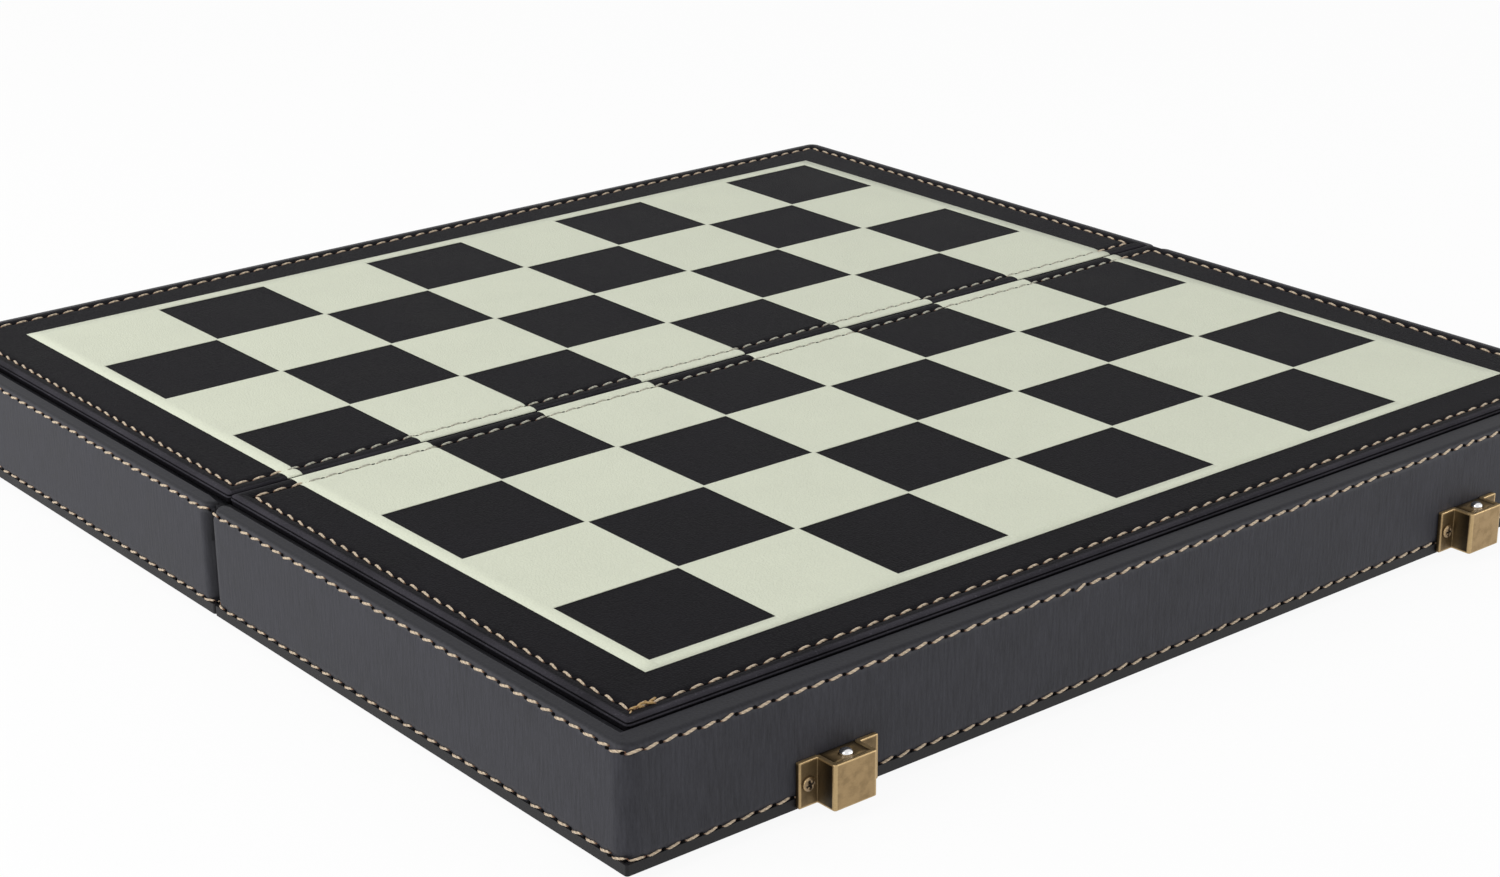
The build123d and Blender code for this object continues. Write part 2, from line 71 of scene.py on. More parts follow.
MM = 0.001
HALVES = ("latch_half", "catch_half")
SIDES = ("left", "right")
RIM_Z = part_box("latch_half_rim_trim")[0].z
UP = (0.0, 0.0, 1.0)
TINY = 1e-9
STATIONS = 8  # points of a cover along each stitch
SQUARES = 8  # squares and pockets along the seam


def half_box(node):
    """Corners of a half's node in that half's frame: x, s outwards from the seam, w up from the rim."""
    return [np.array([corner.x, corner.y, corner.z - RIM_Z]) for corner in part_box("catch_half_" + node)]


PANEL_LOW, PANEL_HIGH = half_box("playing_leather")
PANEL_HIGH[1] -= 0.72 * MM  # the rolled edge stands back from the box on the outer side
COVER_LOW, COVER_HIGH = half_box("side_leather")


# Settings
def number(name, description, default, **kind):
    """A setting from 0 up."""
    return FloatProperty(name=name, description=description, default=default, min=0.0, **kind)


def size(name, description, millimetres):
    """A length setting, given in millimetres and kept in metres."""
    return number(name, description, millimetres * MM, unit="LENGTH", precision=5)


def angle(name, description, degrees):
    """An angle setting, given in degrees."""
    return number(name, description, math.radians(degrees), subtype="ANGLE", unit="ROTATION")


def power(name, description, watts):
    """The power of a lamp."""
    return number(name, description, watts, subtype="POWER")


def colour(name, description, red, green, blue):
    """A colour setting: a display colour, 0 to 255 in each channel, kept as linear light."""
    channels = np.array([red, green, blue]) / 255
    linear = np.where(channels <= 0.04045, channels / 12.92, ((channels + 0.055) / 1.055) ** 2.4)
    return FloatVectorProperty(name=name, description=description, default=linear.tolist(), min=0.0, max=1.0,
                               subtype="COLOR")


class CoverSizes(bpy.types.PropertyGroup):
    """Shapes of the two leather covers beyond the frame's boxes."""
    panel_roll: size("Panel roll", "Radius of the playing cover's rolled edge", 0.6)
    panel_bead: size("Panel bead", "Radius of the bead under the rolled edge", 0.35)
    panel_corner: size("Panel corner", "Radius of the playing cover's corners", 1.0)
    panel_leather: size("Playing leather", "Thickness of the playing cover", 1.0)
    edge_swell: size("Edge swell", "Rise of the playing cover outside its stitches", 0.1)
    line_inset: size("Top stitch line", "From the panel's three outer edges to the stitches", 3.6)
    seam_inset: size("Seam stitch line", "From the panel's seam edge to the stitches", 4.35)
    channel_reach: size("Channel reach", "Half width of the dip under a row of stitches", 0.85)
    channel_depth: size("Channel depth", "Depth of the dip under a row of stitches", 0.22)
    pucker_depth: size("Pucker depth", "Extra depth of the dip at each needle hole", 0.16)
    outer_corner: size("Outer corner", "Radius of the walls' outer corners", 4.0)
    seam_corner: size("Seam corner", "Radius of the walls' corners at the seam", 3.4)
    ledge_round: size("Ledge rounding", "Radius between wall and ledge", 2.0)
    ledge_width: size("Ledge width", "From the outer wall to the groove round the panel", 5.6)
    side_ledge: size("Side ledge width", "From a side wall to the groove round the panel", 3.4)
    ledge_rise: size("Ledge rise", "Rise of the ledge from its rounding to the groove", 0.4)
    side_leather: size("Side leather", "Thickness of the side cover", 0.8)
    split_height: size("Split height", "Height over the rim where the ledge cover starts", 17.0)
    upper_line: size("Upper stitch line", "From the rim up the cover to the upper stitches", 24.35)
    lower_line: size("Lower stitch line", "From the rim up the cover to the lower stitches", 2.6)


class PrintSizes(bpy.types.PropertyGroup):
    """The ivory print on the playing cover."""
    square: size("Square", "Side of one square", 31.5)
    neck: size("Neck", "Ivory strip between two dark squares at a corner", 0.45)
    outline: size("Outline", "Width of the ivory line round the field", 3.5)
    lift: size("Lift", "Height of the print over the leather", 0.1)


class StitchSizes(bpy.types.PropertyGroup):
    """The thread and its needle holes."""
    pitch: size("Pitch", "Distance from one needle hole to the next", 4.35)
    length: size("Length", "Visible length of one stitch", 3.5)
    radius: size("Radius", "Half the thread's thickness", 0.28)
    bow: size("Bow", "How far each end of a stitch swings back to its row", 0.18)
    tilt: angle("Tilt", "Angle between a stitch and its row", 12)
    uneven: angle("Unevenness", "Spread of the stitches' angles", 2.5)
    hole: size("Needle hole", "Radius of the mark that the needle leaves", 0.36)


class InsertSizes(bpy.types.PropertyGroup):
    """The flocked inserts inside the halves."""
    edge: size("Edge", "Radius of the inserts' edges", 1.2)
    pocket_corner: size("Pocket corner", "Radius of the pockets' corners", 1.0)
    pawn_width: size("Pawn pocket width", "Across a pawn pocket", 24.0)
    officer_width: size("Officer pocket width", "Across an officer pocket", 30.0)
    pawn_start: size("Pawn pocket start", "From the seam to the pawn pockets", 15.275)
    pawn_length: size("Pawn pocket length", "Along a pawn pocket", 38.5)
    officer_start: size("Officer pocket start", "From the seam to the officer pockets", 65.5)
    officer_length: size("Longest officer pocket", "Along the king's pocket", 70.0)


class LatchSizes(bpy.types.PropertyGroup):
    """Latch and strike brackets with their buttons and screws."""
    sheet: size("Sheet", "Thickness of the bracket's metal", 1.0)
    height: size("Height", "Height of the bracket", 9.7)
    flange_width: size("Flange width", "Across both flanges", 20.0)
    box_width: size("Box width", "Across the raised box", 10.7)
    stands_out: size("Stands out", "From the wall to the front of the raised box", 6.0)
    lift: size("Lift", "From the rim to the mouth of the bracket", 0.3)
    edge: size("Edge", "Radius of the sheet's edges", 0.2)
    bend: size("Bend", "Outer radius of the raised box's two front bends", 0.6)
    flange_corner: size("Flange corner", "Radius of the flanges' corners", 0.45)
    rubbed: size("Rubbed", "Width of the rubbed band along each edge", 0.25)
    plate_recess: size("Plate recess", "Depth of the top plate under the bracket's edge", 0.15)
    button_place: size("Button place", "From the wall to the button's axis", 3.0)
    dome_radius: size("Dome radius", "Radius of the button", 1.4)
    dome_height: size("Dome height", "Height of the button over the bracket", 0.95)
    screw_head: size("Screw head", "Radius of the flange screws' heads", 1.5)
    screw_crown: size("Screw crown", "Height of the flange screws' heads", 0.9)
    shank: size("Shank", "Radius of all the screws' shanks", 0.7)


class BoardColours(bpy.types.PropertyGroup):
    """Colours of the board's finishes."""
    black_leather: colour("Playing leather", "Charcoal cover under the squares", 26, 25, 28)
    side_leather: colour("Side leather", "Charcoal cover of the walls", 52, 52, 57)
    trim: colour("Trim", "Edge strip round the rim", 24, 23, 25)
    ivory: colour("Ivory", "Printed squares and outline", 216, 220, 200)
    inked: colour("Inked thread", "Thread along the seam, rubbed with ivory ink", 188, 186, 170)
    thread: colour("Thread", "Sewing thread", 208, 188, 162)
    knot: colour("Knot", "Thread of the doubled stitches at the corner", 186, 152, 100)
    # painted shade of the thread's ends and underside
    thread_shade: colour("Thread ends", "Thread where it dips into its hole", 104, 62, 38)
    needle_hole: colour("Needle hole", "Shade inside a needle hole", 12, 10, 10)
    flock: colour("Flock", "Inserts and lining", 26, 26, 29)
    fibreboard: colour("Fibreboard", "Raw boards under the covers", 150, 122, 86)
    brass: colour("Antique brass", "Latches and strikes", 158, 133, 95)
    worn_brass: colour("Worn brass", "Rubbed edges of latches and strikes", 182, 156, 114)
    hinge_brass: colour("Hinge brass", "Hinge leaves and pins", 190, 156, 92)
    screw: colour("Screws", "All the screws", 150, 128, 100)
    chrome: colour("Bright metal", "Push buttons", 226, 226, 228)
    steel: colour("Steel", "Springs, levers and pins", 176, 176, 180)


class StudioSettings(bpy.types.PropertyGroup):
    """Lamps and floor."""
    world: number("World", "Brightness of the white surroundings", 0.55)
    key: power("Key lamp", "Large lamp on the left", 9.0)
    fill: power("Fill lamp", "Lamp over the camera", 1.6)
    side: power("Side lamp", "Low lamp on the right", 1.4)
    far: power("Far lamp", "Low lamp on the far left", 1.2)
    floor_lift: number("Floor lift", "How far the floor's shadow is lifted towards white", 0.93, max=1.0,
                       subtype="FACTOR")


# Meshes
class Surfaces:
    """Points and faces gathered from several grids, to become one mesh; the origin is added to each point."""

    def __init__(self, origin=(0.0, 0.0, 0.0)):
        self.origin = origin
        self.points = []
        self.wear_and_shade = []
        self.faces = []
        self.count = 0

    def add_points(self, points, wear_and_shade=0.0):
        """Appends points (..., 3) with their marks of rubbing and painted shade and returns their numbers in the
        same layout.
        """
        points = np.asarray(points, float) + self.origin
        numbers = np.arange(points[..., 0].size).reshape(points.shape[:-1]) + self.count
        self.points.append(points.reshape(-1, 3))
        self.wear_and_shade.append(np.broadcast_to(wear_and_shade, numbers.shape).ravel())
        self.count += numbers.size
        return numbers

    def add_copies(self, points, faces):
        """Appends copies (copies, points, 3) of a template that has these faces."""
        for first in self.add_points(points)[:, 0]:
            self.faces.extend([[first + i for i in face] for face in faces])

    def add_grid(self, points, close_rows=False, close_columns=False, capped=False, keep=None, wear_and_shade=0.0):
        """Appends a grid of points (rows, columns, 3): each cell's quad joins its four corners.

        A closed direction wraps its last line to its first, and capped closes both ends of the other one by a
        face. keep is a mask of the cells that get a face.
        """
        numbers = self.add_points(points, wear_and_shade)
        if close_rows:
            numbers = np.concatenate([numbers, numbers[:1]])
        if close_columns:
            numbers = np.concatenate([numbers, numbers[:, :1]], axis=1)
        quads = np.stack([numbers[:-1, :-1], numbers[:-1, 1:], numbers[1:, 1:], numbers[1:, :-1]], axis=-1)
        if keep is not None:
            quads = quads[keep]
        self.faces.extend(quads.reshape(-1, 4).tolist())
        if capped:
            lines = numbers[:, :-1] if close_columns else numbers[:-1].T
            self.faces.extend([lines[0, ::-1].tolist(), lines[-1].tolist()])

    def add_tube(self, rings, wear_and_shade=0.0):
        """Appends rings of points (rings, around, 3) as a closed body."""
        self.add_grid(rings, close_columns=True, capped=True, wear_and_shade=wear_and_shade)


def make_piece(name, surfaces, half, body, finish, merge=True):
    """Makes the gathered surfaces one mesh object at the origin, on its body (if any) and with its finish.

    Points (x, s, w) of the half become row-frame points, where y is s for the catch half and -s for the latch
    half. Doubled points are merged, faces shut in where two shells met are removed, and the rest are turned
    outwards. Without merging, the faces keep their order, and are only turned over for the mirrored latch half.
    """
    mirrored = half == "latch_half"
    mesh = bpy.data.meshes.new(name)
    points = np.concatenate(surfaces.points) * [1, -1 if mirrored else 1, 1] + [0, 0, RIM_Z]
    mesh.from_pydata(points.tolist(), [], surfaces.faces)
    wear_and_shade = np.concatenate(surfaces.wear_and_shade)
    if wear_and_shade.any():
        marks = mesh.attributes.new("wear_and_shade", "FLOAT", "POINT")
        marks.data.foreach_set("value", wear_and_shade.astype(np.float32))
    shape = bmesh.new()
    shape.from_mesh(mesh)
    if merge:
        bmesh.ops.remove_doubles(shape, verts=shape.verts, dist=1e-7)
        inner = [face for face in shape.faces if sum(len(edge.link_faces) > 2 for edge in face.edges) > 1]
        bmesh.ops.delete(shape, geom=inner, context="FACES")
        bmesh.ops.recalc_face_normals(shape, faces=shape.faces)
    elif mirrored:
        bmesh.ops.reverse_faces(shape, faces=shape.faces)
    unused = [v for v in shape.verts if not v.link_faces]
    bmesh.ops.delete(shape, geom=unused, context="VERTS")
    shape.to_mesh(mesh)
    shape.free()
    mesh.polygons.foreach_set("use_smooth", [True] * len(mesh.polygons))
    piece = bpy.data.objects.new(name, mesh)
    bpy.context.scene.collection.objects.link(piece)
    mesh.materials.append(finish)
    if body:
        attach(piece, body)
    return piece


def thicken(piece, name, thickness):
    """Gives a sheet its thickness, under its surface."""
    solid = piece.modifiers.new(name, "SOLIDIFY")
    solid.thickness = thickness
    solid.offset = -1


def round_rectangle(counts, shift=0.0):
    """Side numbers and places along the side, once round, for the counts of points along and across.

    Side 0 is at the seam, 1 right, 2 outer and 3 left, and a place runs from 0 to 1.
    """
    counts = np.resize(counts, 4)
    return np.repeat(np.arange(4), counts), np.concatenate([(np.arange(n) + shift) / n for n in counts])


def outline_points(side, along, low, high, seam_radius=0.0, outer_radius=0.0):
    """Points (..., 2) round a rectangle with rounded corners, counter-clockwise seen from above.

    A point nearer to a corner than its radius bends in: at the distance q from the corner it has turned by 45
    degrees times (1 - q / radius), and lies radius * (1 - sine) along the side and radius * (1 - cosine) inside.
    """
    length = np.where(side % 2 == 0, high[0] - low[0], high[1] - low[1])
    run = along * length
    start_radius = np.where(side < 2, seam_radius, outer_radius) + TINY
    end_radius = np.where((side == 0) | (side == 3), seam_radius, outer_radius) + TINY
    start_turn = np.pi / 4 * np.clip(1 - run / start_radius, 0, 1)
    end_turn = np.pi / 4 * np.clip(1 - (length - run) / end_radius, 0, 1)
    distance = np.where(start_turn > 0, start_radius * (1 - np.sin(start_turn)), run)
    distance = np.where(end_turn > 0, length - end_radius * (1 - np.sin(end_turn)), distance)
    inset = start_radius * (1 - np.cos(start_turn)) + end_radius * (1 - np.cos(end_turn))
    sides = [side == 0, side == 1, side == 2]
    x = np.select(sides, [low[0] + distance, high[0] - inset, high[0] - distance], low[0] + inset)
    s = np.select(sides, [low[1] + inset, low[1] + distance, high[1] - inset], high[1] - distance)
    return np.stack(np.broadcast_arrays(x, s), axis=-1)


def raised(flat, height):
    """Plan points (..., 2) with a height for each, or one for all."""
    return np.concatenate([flat, np.broadcast_to(height, flat.shape[:-1])[..., None]], axis=-1)


def arc_line(radius, steps, start, turn):
    """Offsets (steps, 2) of an arc about its centre, from an angle on through a turn, in degrees."""
    angles = np.radians(np.linspace(start, start + turn, steps))
    return np.stack([radius * np.cos(angles), radius * np.sin(angles)], axis=-1)


def turned(lines, turn, place=0.0):
    """Rings round an upright axis: each line has a radius and a height, or one of them for each angle."""
    return np.stack([raised(np.stack([r * np.cos(turn), r * np.sin(turn) + place], axis=-1), h) for r, h in lines])


def full_turn(steps):
    """Angles once round."""
    return np.linspace(0, 2 * np.pi, steps, endpoint=False)


# Covers
def stitch_counts(low, high, stitches):
    """How many stitches fit along and across a rectangle."""
    return np.maximum(1, np.round((high - low) / stitches.pitch).astype(int))


def dip(distance, phase, covers):
    """Depth of the leather near a stitch row.

    A bell curve over the distance from the row, plus a narrower one whose depth swings with the phase: full at
    each needle hole, where the phase is a whole number, and none halfway between two.
    """
    bell = np.exp(-(distance / covers.channel_reach) ** 2)
    swing = 0.5 + 0.5 * np.cos(2 * np.pi * phase)
    return covers.channel_depth * bell + covers.pucker_depth * bell ** 1.5 * swing


def panel_dip(inset, phase, covers):
    """Depth of the dip of the top stitches, which leaves the rolled edge as it is."""
    return dip(inset - covers.line_inset, phase, covers) * (inset > covers.panel_roll)


def panel_profile(covers):
    """Insets from the panel's edge and heights of the playing cover, from its foot to the flat field.

    A straight side, a round bead, a crease, a quarter circle, a low swell of half a sine wave up to the stitch
    line, and the flat.
    """
    roll, bead, top = covers.panel_roll, covers.panel_bead, PANEL_HIGH[2]
    bead_middle = top - roll - 1.4 * bead
    side_inset, side_top = 0.6 * bead, bead_middle - 1.2 * bead
    crease = [1.5 * bead, bead_middle + 1.1 * bead]
    field_start = covers.line_inset + 2.6 * covers.channel_reach
    inset = np.linspace(roll + side_inset, field_start, 15)[1:]
    swell = covers.edge_swell * np.sin(np.pi * np.clip(inset / covers.line_inset, 0, 1))
    return np.concatenate([
        [[side_inset, PANEL_LOW[2]], [side_inset, side_top]],
        arc_line(bead, 7, 235, -165) + [bead, bead_middle],
        [crease],
        arc_line(roll, 7, 180, -90) + [roll + side_inset, top - roll],
        np.stack([inset, top + swell], axis=-1),
    ])


def panel_lines(covers, stitches):
    """Corners of the rectangle of top stitches, and the stitch counts along it."""
    low = PANEL_LOW[:2] + [covers.line_inset, covers.seam_inset]
    high = PANEL_HIGH[:2] - covers.line_inset
    return low, high, stitch_counts(low, high, stitches)


def add_playing_cover(half, covers, stitches, finish):
    """Playing cover: its profile carried round the panel with mitred corners and closed by the flat field."""
    profile = panel_profile(covers)
    line_low, line_high, counts = panel_lines(covers, stitches)
    side, along = round_rectangle(STATIONS * counts)
    inset = profile[:, :1]
    low = (PANEL_LOW[0] + inset, PANEL_LOW[1] + inset * covers.seam_inset / covers.line_inset)
    high = (PANEL_HIGH[0] - inset, PANEL_HIGH[1] - inset)
    radius = np.maximum(covers.panel_corner - inset, 0)
    flat = outline_points(side, along, low, high, radius, radius)
    phases = (flat - line_low) / ((line_high - line_low) / counts)
    phase = np.where(side % 2 == 0, phases[..., 0], phases[..., 1])
    thick = covers.panel_leather
    foot = outline_points(side, along, PANEL_LOW + thick, PANEL_HIGH - thick)
    shell = Surfaces()
    shell.add_tube([raised(foot, PANEL_HIGH[2] - thick), raised(foot, PANEL_LOW[2]),
                    *raised(flat, profile[:, 1:] - panel_dip(inset, phase, covers))])
    piece = make_piece(half + "_playing_cover", shell, half, half, finish)
    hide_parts(half + "_playing_leather")


def add_print(half, dark_parity, covers, printing, stitches, finish):
    """Ivory print: a sheet that follows the cover from its rolled seam edge over the field, less the dark squares.

    Its lines run along the squares' edges and through the dips of the seam stitches.
    """
    profile = panel_profile(covers)
    line_low, line_high, counts = panel_lines(covers, stitches)
    pitch = (line_high[0] - line_low[0]) / counts[0]
    square, trim = printing.square, printing.neck / 2
    ranks = SQUARES // 2
    field = ranks * square
    reach = field + printing.outline
    edges = np.arange(-ranks, ranks)[:, None] * square + [trim, square - trim]
    fine = np.arange(-field, field, pitch / STATIONS)
    x = np.unique(np.round(np.concatenate([edges.ravel(), fine, [-reach, reach]]), 7))
    on_print = profile[profile[:, 1] > PANEL_HIGH[2] - 0.8 * covers.panel_roll]
    s_edge = PANEL_LOW[1] + on_print[:, 0] * covers.seam_inset / covers.line_inset
    rows = np.append(edges[ranks:], reach)
    rows = rows[rows > s_edge[-1]]
    s = np.concatenate([s_edge, rows])
    w = np.concatenate([on_print[:, 1], np.full(rows.size, PANEL_HIGH[2])])[:, None]
    inset = np.concatenate([on_print[:, 0], np.full(rows.size, s.max())])[:, None]
    height = w - panel_dip(inset, (x - line_low[0]) / pitch, covers) + printing.lift
    middle_x, middle_s = (x[1:] + x[:-1]) / 2, ((s[1:] + s[:-1]) / 2)[:, None]
    column, row = np.floor((middle_x + field) / square), np.floor(middle_s / square)
    half_dark = square / 2 - trim
    in_column = (np.abs(middle_x + field - (column + 0.5) * square) < half_dark) & (abs(middle_x) < field)
    in_row = (np.abs(middle_s - (row + 0.5) * square) < half_dark) & (middle_s < field)
    in_row |= middle_s < square / 2
    keep = ~(((column + row) % 2 == dark_parity) & in_column & in_row)
    sheet = Surfaces()
    sheet.add_grid(raised(np.stack(np.meshgrid(x, s), axis=-1), height), keep=keep)
    piece = make_piece(half + "_ivory_print", sheet, half, half, finish, merge=False)
    thicken(piece, "Print thickness", printing.lift)
    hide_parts(half + "_ivory_squares")


def add_side_cover(half, covers, stitches, finish):
    """Side cover: a wall band round the half, a ledge band on its three outer sides and a strip under the seam.

    A flat strip lies in the groove between ledge and panel and turns down at the seam.
    """
    low, high = COVER_LOW[:2], COVER_HIGH[:2]
    side, along = round_rectangle(STATIONS * stitch_counts(low, high, stitches))
    phase = np.arange(side.size) / STATIONS
    thick, r, width = covers.side_leather, covers.ledge_round, covers.ledge_width
    foot, split, top, seat = COVER_LOW[2], covers.split_height, COVER_HIGH[2], PANEL_LOW[2]
    shell = Surfaces()

    def narrowed(inset):
        """Inset from a side wall: beyond the rounding, the side ledges are narrower than the outer one."""
        return np.interp(inset, [0, r, width], [0, r, covers.side_ledge])

    def band(section, side, along, phase, line):
        """Carries a closed section round the outline, with the dip of its stitch row.

        A section point has an inset, a height, the slope of its surface and its way up the cover.
        """
        inset, height, slope, way = (section[:, i:i + 1] for i in range(4))
        sunk = dip(way - line, phase, covers)
        inwards = inset + sunk * np.cos(slope)
        sideways = narrowed(inwards)
        radii = (np.maximum(corner - inset, 0) for corner in (covers.seam_corner, covers.outer_corner))
        flat = outline_points(side, along, (low[0] + sideways, low[1] + inwards),
                              (high[0] - sideways, high[1] - inwards), *radii)
        return raised(flat, height - sunk * np.sin(slope))

    def wall_line(start, end, line):
        """Section points of the upright wall from start to end, closer together near the stitch row."""
        near = line + np.linspace(-2, 2, 11) * covers.channel_reach
        heights = np.concatenate([[start], near[(near > start) & (near < end)], [end]])
        return np.stack([0 * heights, heights, 0 * heights, heights], axis=-1)

    def inner_line(points):
        """Section points on the inside, whose way up the cover is too far from any stitch to dip."""
        far = 1.0
        return np.array([[inset, height, 0.0, far] for inset, height in points])

    section = np.concatenate([wall_line(foot, split, covers.lower_line),
                              inner_line([(thick, split), (thick, foot)])])
    shell.add_grid(band(section, side, along, phase, covers.lower_line), close_rows=True, close_columns=True)

    lip, step, undercut, stub_steps = 0.35 * MM, 0.05 * MM, 0.1 * MM, 10
    slopes = np.linspace(0, np.pi / 2, 12)[1:]
    crest = top + covers.ledge_rise
    section = np.concatenate([
        wall_line(split, top - r, covers.upper_line),
        np.stack([r - r * np.cos(slopes), top - r + r * np.sin(slopes), slopes, top - r + r * slopes], axis=-1),
        inner_line([(width - 3 * lip, crest - step)]),
        inner_line(arc_line(lip, 5, 90, -90) + [width - lip, crest - lip]),
        inner_line([(width, seat + step), (width - undercut, seat + step), (width - undercut, top - thick),
                    (r, top - thick), (thick, top - r), (thick, split)]),
    ])
    outer = side > 0
    stub = np.linspace(1, 0, stub_steps, endpoint=False)  # the side ledges end in stubs along the seam
    at_seam = np.zeros(stub_steps, int)
    sideways = narrowed(section[:, :1])
    reach = np.maximum(covers.side_ledge - sideways, 0) / (high[0] - low[0] - 2 * sideways)
    ledge_along = np.concatenate([1 - reach * stub, np.broadcast_to(along[outer], (len(section), outer.sum())),
                                  np.ones((len(section), 1)), reach * stub[::-1]], axis=1)
    ledge_side = np.concatenate([at_seam, side[outer], [3], at_seam])
    ledge_phase = np.concatenate([at_seam, phase[outer], [0], at_seam])
    shell.add_grid(band(section, ledge_side, ledge_along, ledge_phase, covers.upper_line), close_rows=True,
                   capped=True)

    run = along * (high[0] - low[0])
    seam = (side == 0) & (run > covers.side_ledge) & (run < high[0] - low[0] - covers.side_ledge)
    section = np.concatenate([wall_line(split, seat, covers.upper_line),
                              inner_line([(thick, seat), (thick, split)])])
    shell.add_grid(band(section, side[seam], along[seam], phase[seam], covers.upper_line), close_rows=True,
                   capped=True)

    under_ledge, under_panel, drop = (2.6 * MM, 2.6 * MM), high - PANEL_HIGH[:2] - step, 1.8 * MM
    rows = []
    for (x, s), up, flap in ((under_ledge, 0.02, 0.3), (under_ledge, 0.08, 0.2), (under_panel, 0.08, 0.2),
                             (under_panel, 0.02, 0.3)):
        w, end = top - thick + up * MM, low[1] + flap * MM
        rows.append([(low[0] + x, end, w - drop), (low[0] + x, end, w), (low[0] + x, high[1] - s, w),
                     (high[0] - x, high[1] - s, w), (high[0] - x, end, w), (high[0] - x, end, w - drop)])
    shell.add_grid(rows, close_rows=True, capped=True)
    piece = make_piece(half + "_side_cover", shell, half, half, finish)
    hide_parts(half + "_side_leather")


# Stitches
def thread_template(stitches):
    """One stitch in its own axes (along, across, out) and its faces.

    A round bar whose radius narrows towards both ends and whose centre line sinks there by the fourth power of
    the distance from the middle, so that both tips lie in the needle holes. The third array holds the place and
    the cosine and sine of the angle of each point, and the last the share of the bow by which it swings back to
    the row: the cube of its place.
    """
    around = 6
    place = np.sin(np.linspace(-1, 1, 9) * np.pi / 2)[:, None]
    turn = full_turn(around)
    radius = stitches.radius * (1 - 0.5 * np.abs(place) ** 3)
    rise = stitches.radius * (0.45 - 1.15 * place ** 4)
    points = (place * stitches.length / 2, radius * np.cos(turn), rise + radius * np.sin(turn))
    points, spread = (np.stack(np.broadcast_arrays(*given), axis=-1)
                      for given in (points, (place, np.cos(turn), np.sin(turn))))
    bar = Surfaces()
    bar.add_tube(points)
    return points.reshape(-1, 3), bar.faces, spread.reshape(-1, 3), np.repeat(-place ** 3, around)


def add_stitches(name, half, centres, tangents, normals, stitches, finish, slot, sense):
    """Copies of the stitch template, set at their centres and turned by the tilt in the plane of the leather.

    sense is 1 or -1 for each stitch: the side to which it tilts.
    """
    drift = 0.06 * MM
    template, faces, spread, swing = thread_template(stitches)
    across = np.cross(normals, tangents)
    sense = np.broadcast_to(sense, len(centres))[:, None]
    uneven = np.random.default_rng(len(centres)).normal(0, 1, (len(centres), 2))
    tilt = (stitches.tilt + stitches.uneven * uneven[:, :1]) * sense
    along = tangents * np.cos(tilt) + across * np.sin(tilt)
    centres = centres + across * drift * uneven[:, 1:]
    across = np.cross(normals, along)
    axes = np.stack([along, across, normals], axis=1)
    points = centres[:, None, :] + np.einsum("pk,nkj->npj", template, axes)
    points += (stitches.bow * swing)[None, :, None] * (sense * across)[:, None, :]
    threads = Surfaces()
    threads.add_copies(points, faces)
    piece = make_piece(name, threads, half, half, finish, merge=False)
    marks = piece.data.attributes.new("thread", "FLOAT_VECTOR", "POINT")
    marks.data.foreach_set("vector", np.tile(spread, (len(centres), 1)).astype(np.float32).ravel())


def add_knot(half, covers, stitches, finish):
    """Doubled stitches where the thread of a panel's row starts and ends, at its left outer corner.

    Each has a place from the corner, along the outer row and outwards, a height, and an angle to that row.
    """
    low, high = panel_lines(covers, stitches)[:2]
    laid = np.array([(1.3, 0.1, 0.1, 8), (2.6, -0.25, 0.35, -24), (3.6, 0.1, 0.3, 20), (5.2, -0.5, 0.1, -30),
                     (-0.9, 1.1, -0.1, 125)])
    centres = [low[0], high[1], PANEL_HIGH[2] - covers.channel_depth] + laid[:, :3] * MM
    turn = np.radians(laid[:, 3])
    tangents = raised(np.stack([np.cos(turn), np.sin(turn)], axis=-1), 0)
    add_stitches(half + "_corner_knot", half, centres, tangents, np.tile(UP, (len(laid), 1)), stitches, finish,
                 "black_leather", 1)


def panel_stitch_places(covers, stitches):
    """Centres, tangents and normals of the top stitches, halfway between their needle holes, and their sides."""
    low, high, counts = panel_lines(covers, stitches)
    side, along = round_rectangle(counts, 0.5)
    centres = raised(outline_points(side, along, low, high), PANEL_HIGH[2] - covers.channel_depth)
    tangents = np.array([[1, 0, 0], [0, 1, 0], [-1, 0, 0], [0, -1, 0]], float)[side]
    return (centres, tangents, np.tile(UP, (side.size, 1))), side


def wall_stitch_places(covers, stitches, way, at_seam):
    """Centres, tangents and outward normals of a row of wall stitches, way measured up the cover from the rim.

    at_seam tells whether the row also runs along the seam.
    """
    low, high = COVER_LOW[:2], COVER_HIGH[:2]
    counts = stitch_counts(low, high, stitches)
    side, along = round_rectangle(counts, 0.5)
    nudge = 0.02 / counts[side % 2]
    before, after = (outline_points(side, along + shift, low, high, covers.seam_corner, covers.outer_corner)
                     for shift in (-nudge, nudge))
    tangent = (after - before) / np.linalg.norm(after - before, axis=-1, keepdims=True)
    outwards = np.stack([tangent[:, 1], -tangent[:, 0]], axis=-1)
    r, sunk = covers.ledge_round, covers.channel_depth
    start = COVER_HIGH[2] - r
    slope = max(way - start, 0) / r
    cosine, sine = math.cos(slope), math.sin(slope)
    height = (start + r * sine if slope > 0 else way) - sunk * sine
    centre = (before + after) / 2 - outwards * (r * (1 - cosine) + sunk * cosine)
    rows = raised(centre, height), raised(tangent, 0), raised(outwards * cosine, sine)
    return tuple(row[(side > 0) | at_seam] for row in rows)


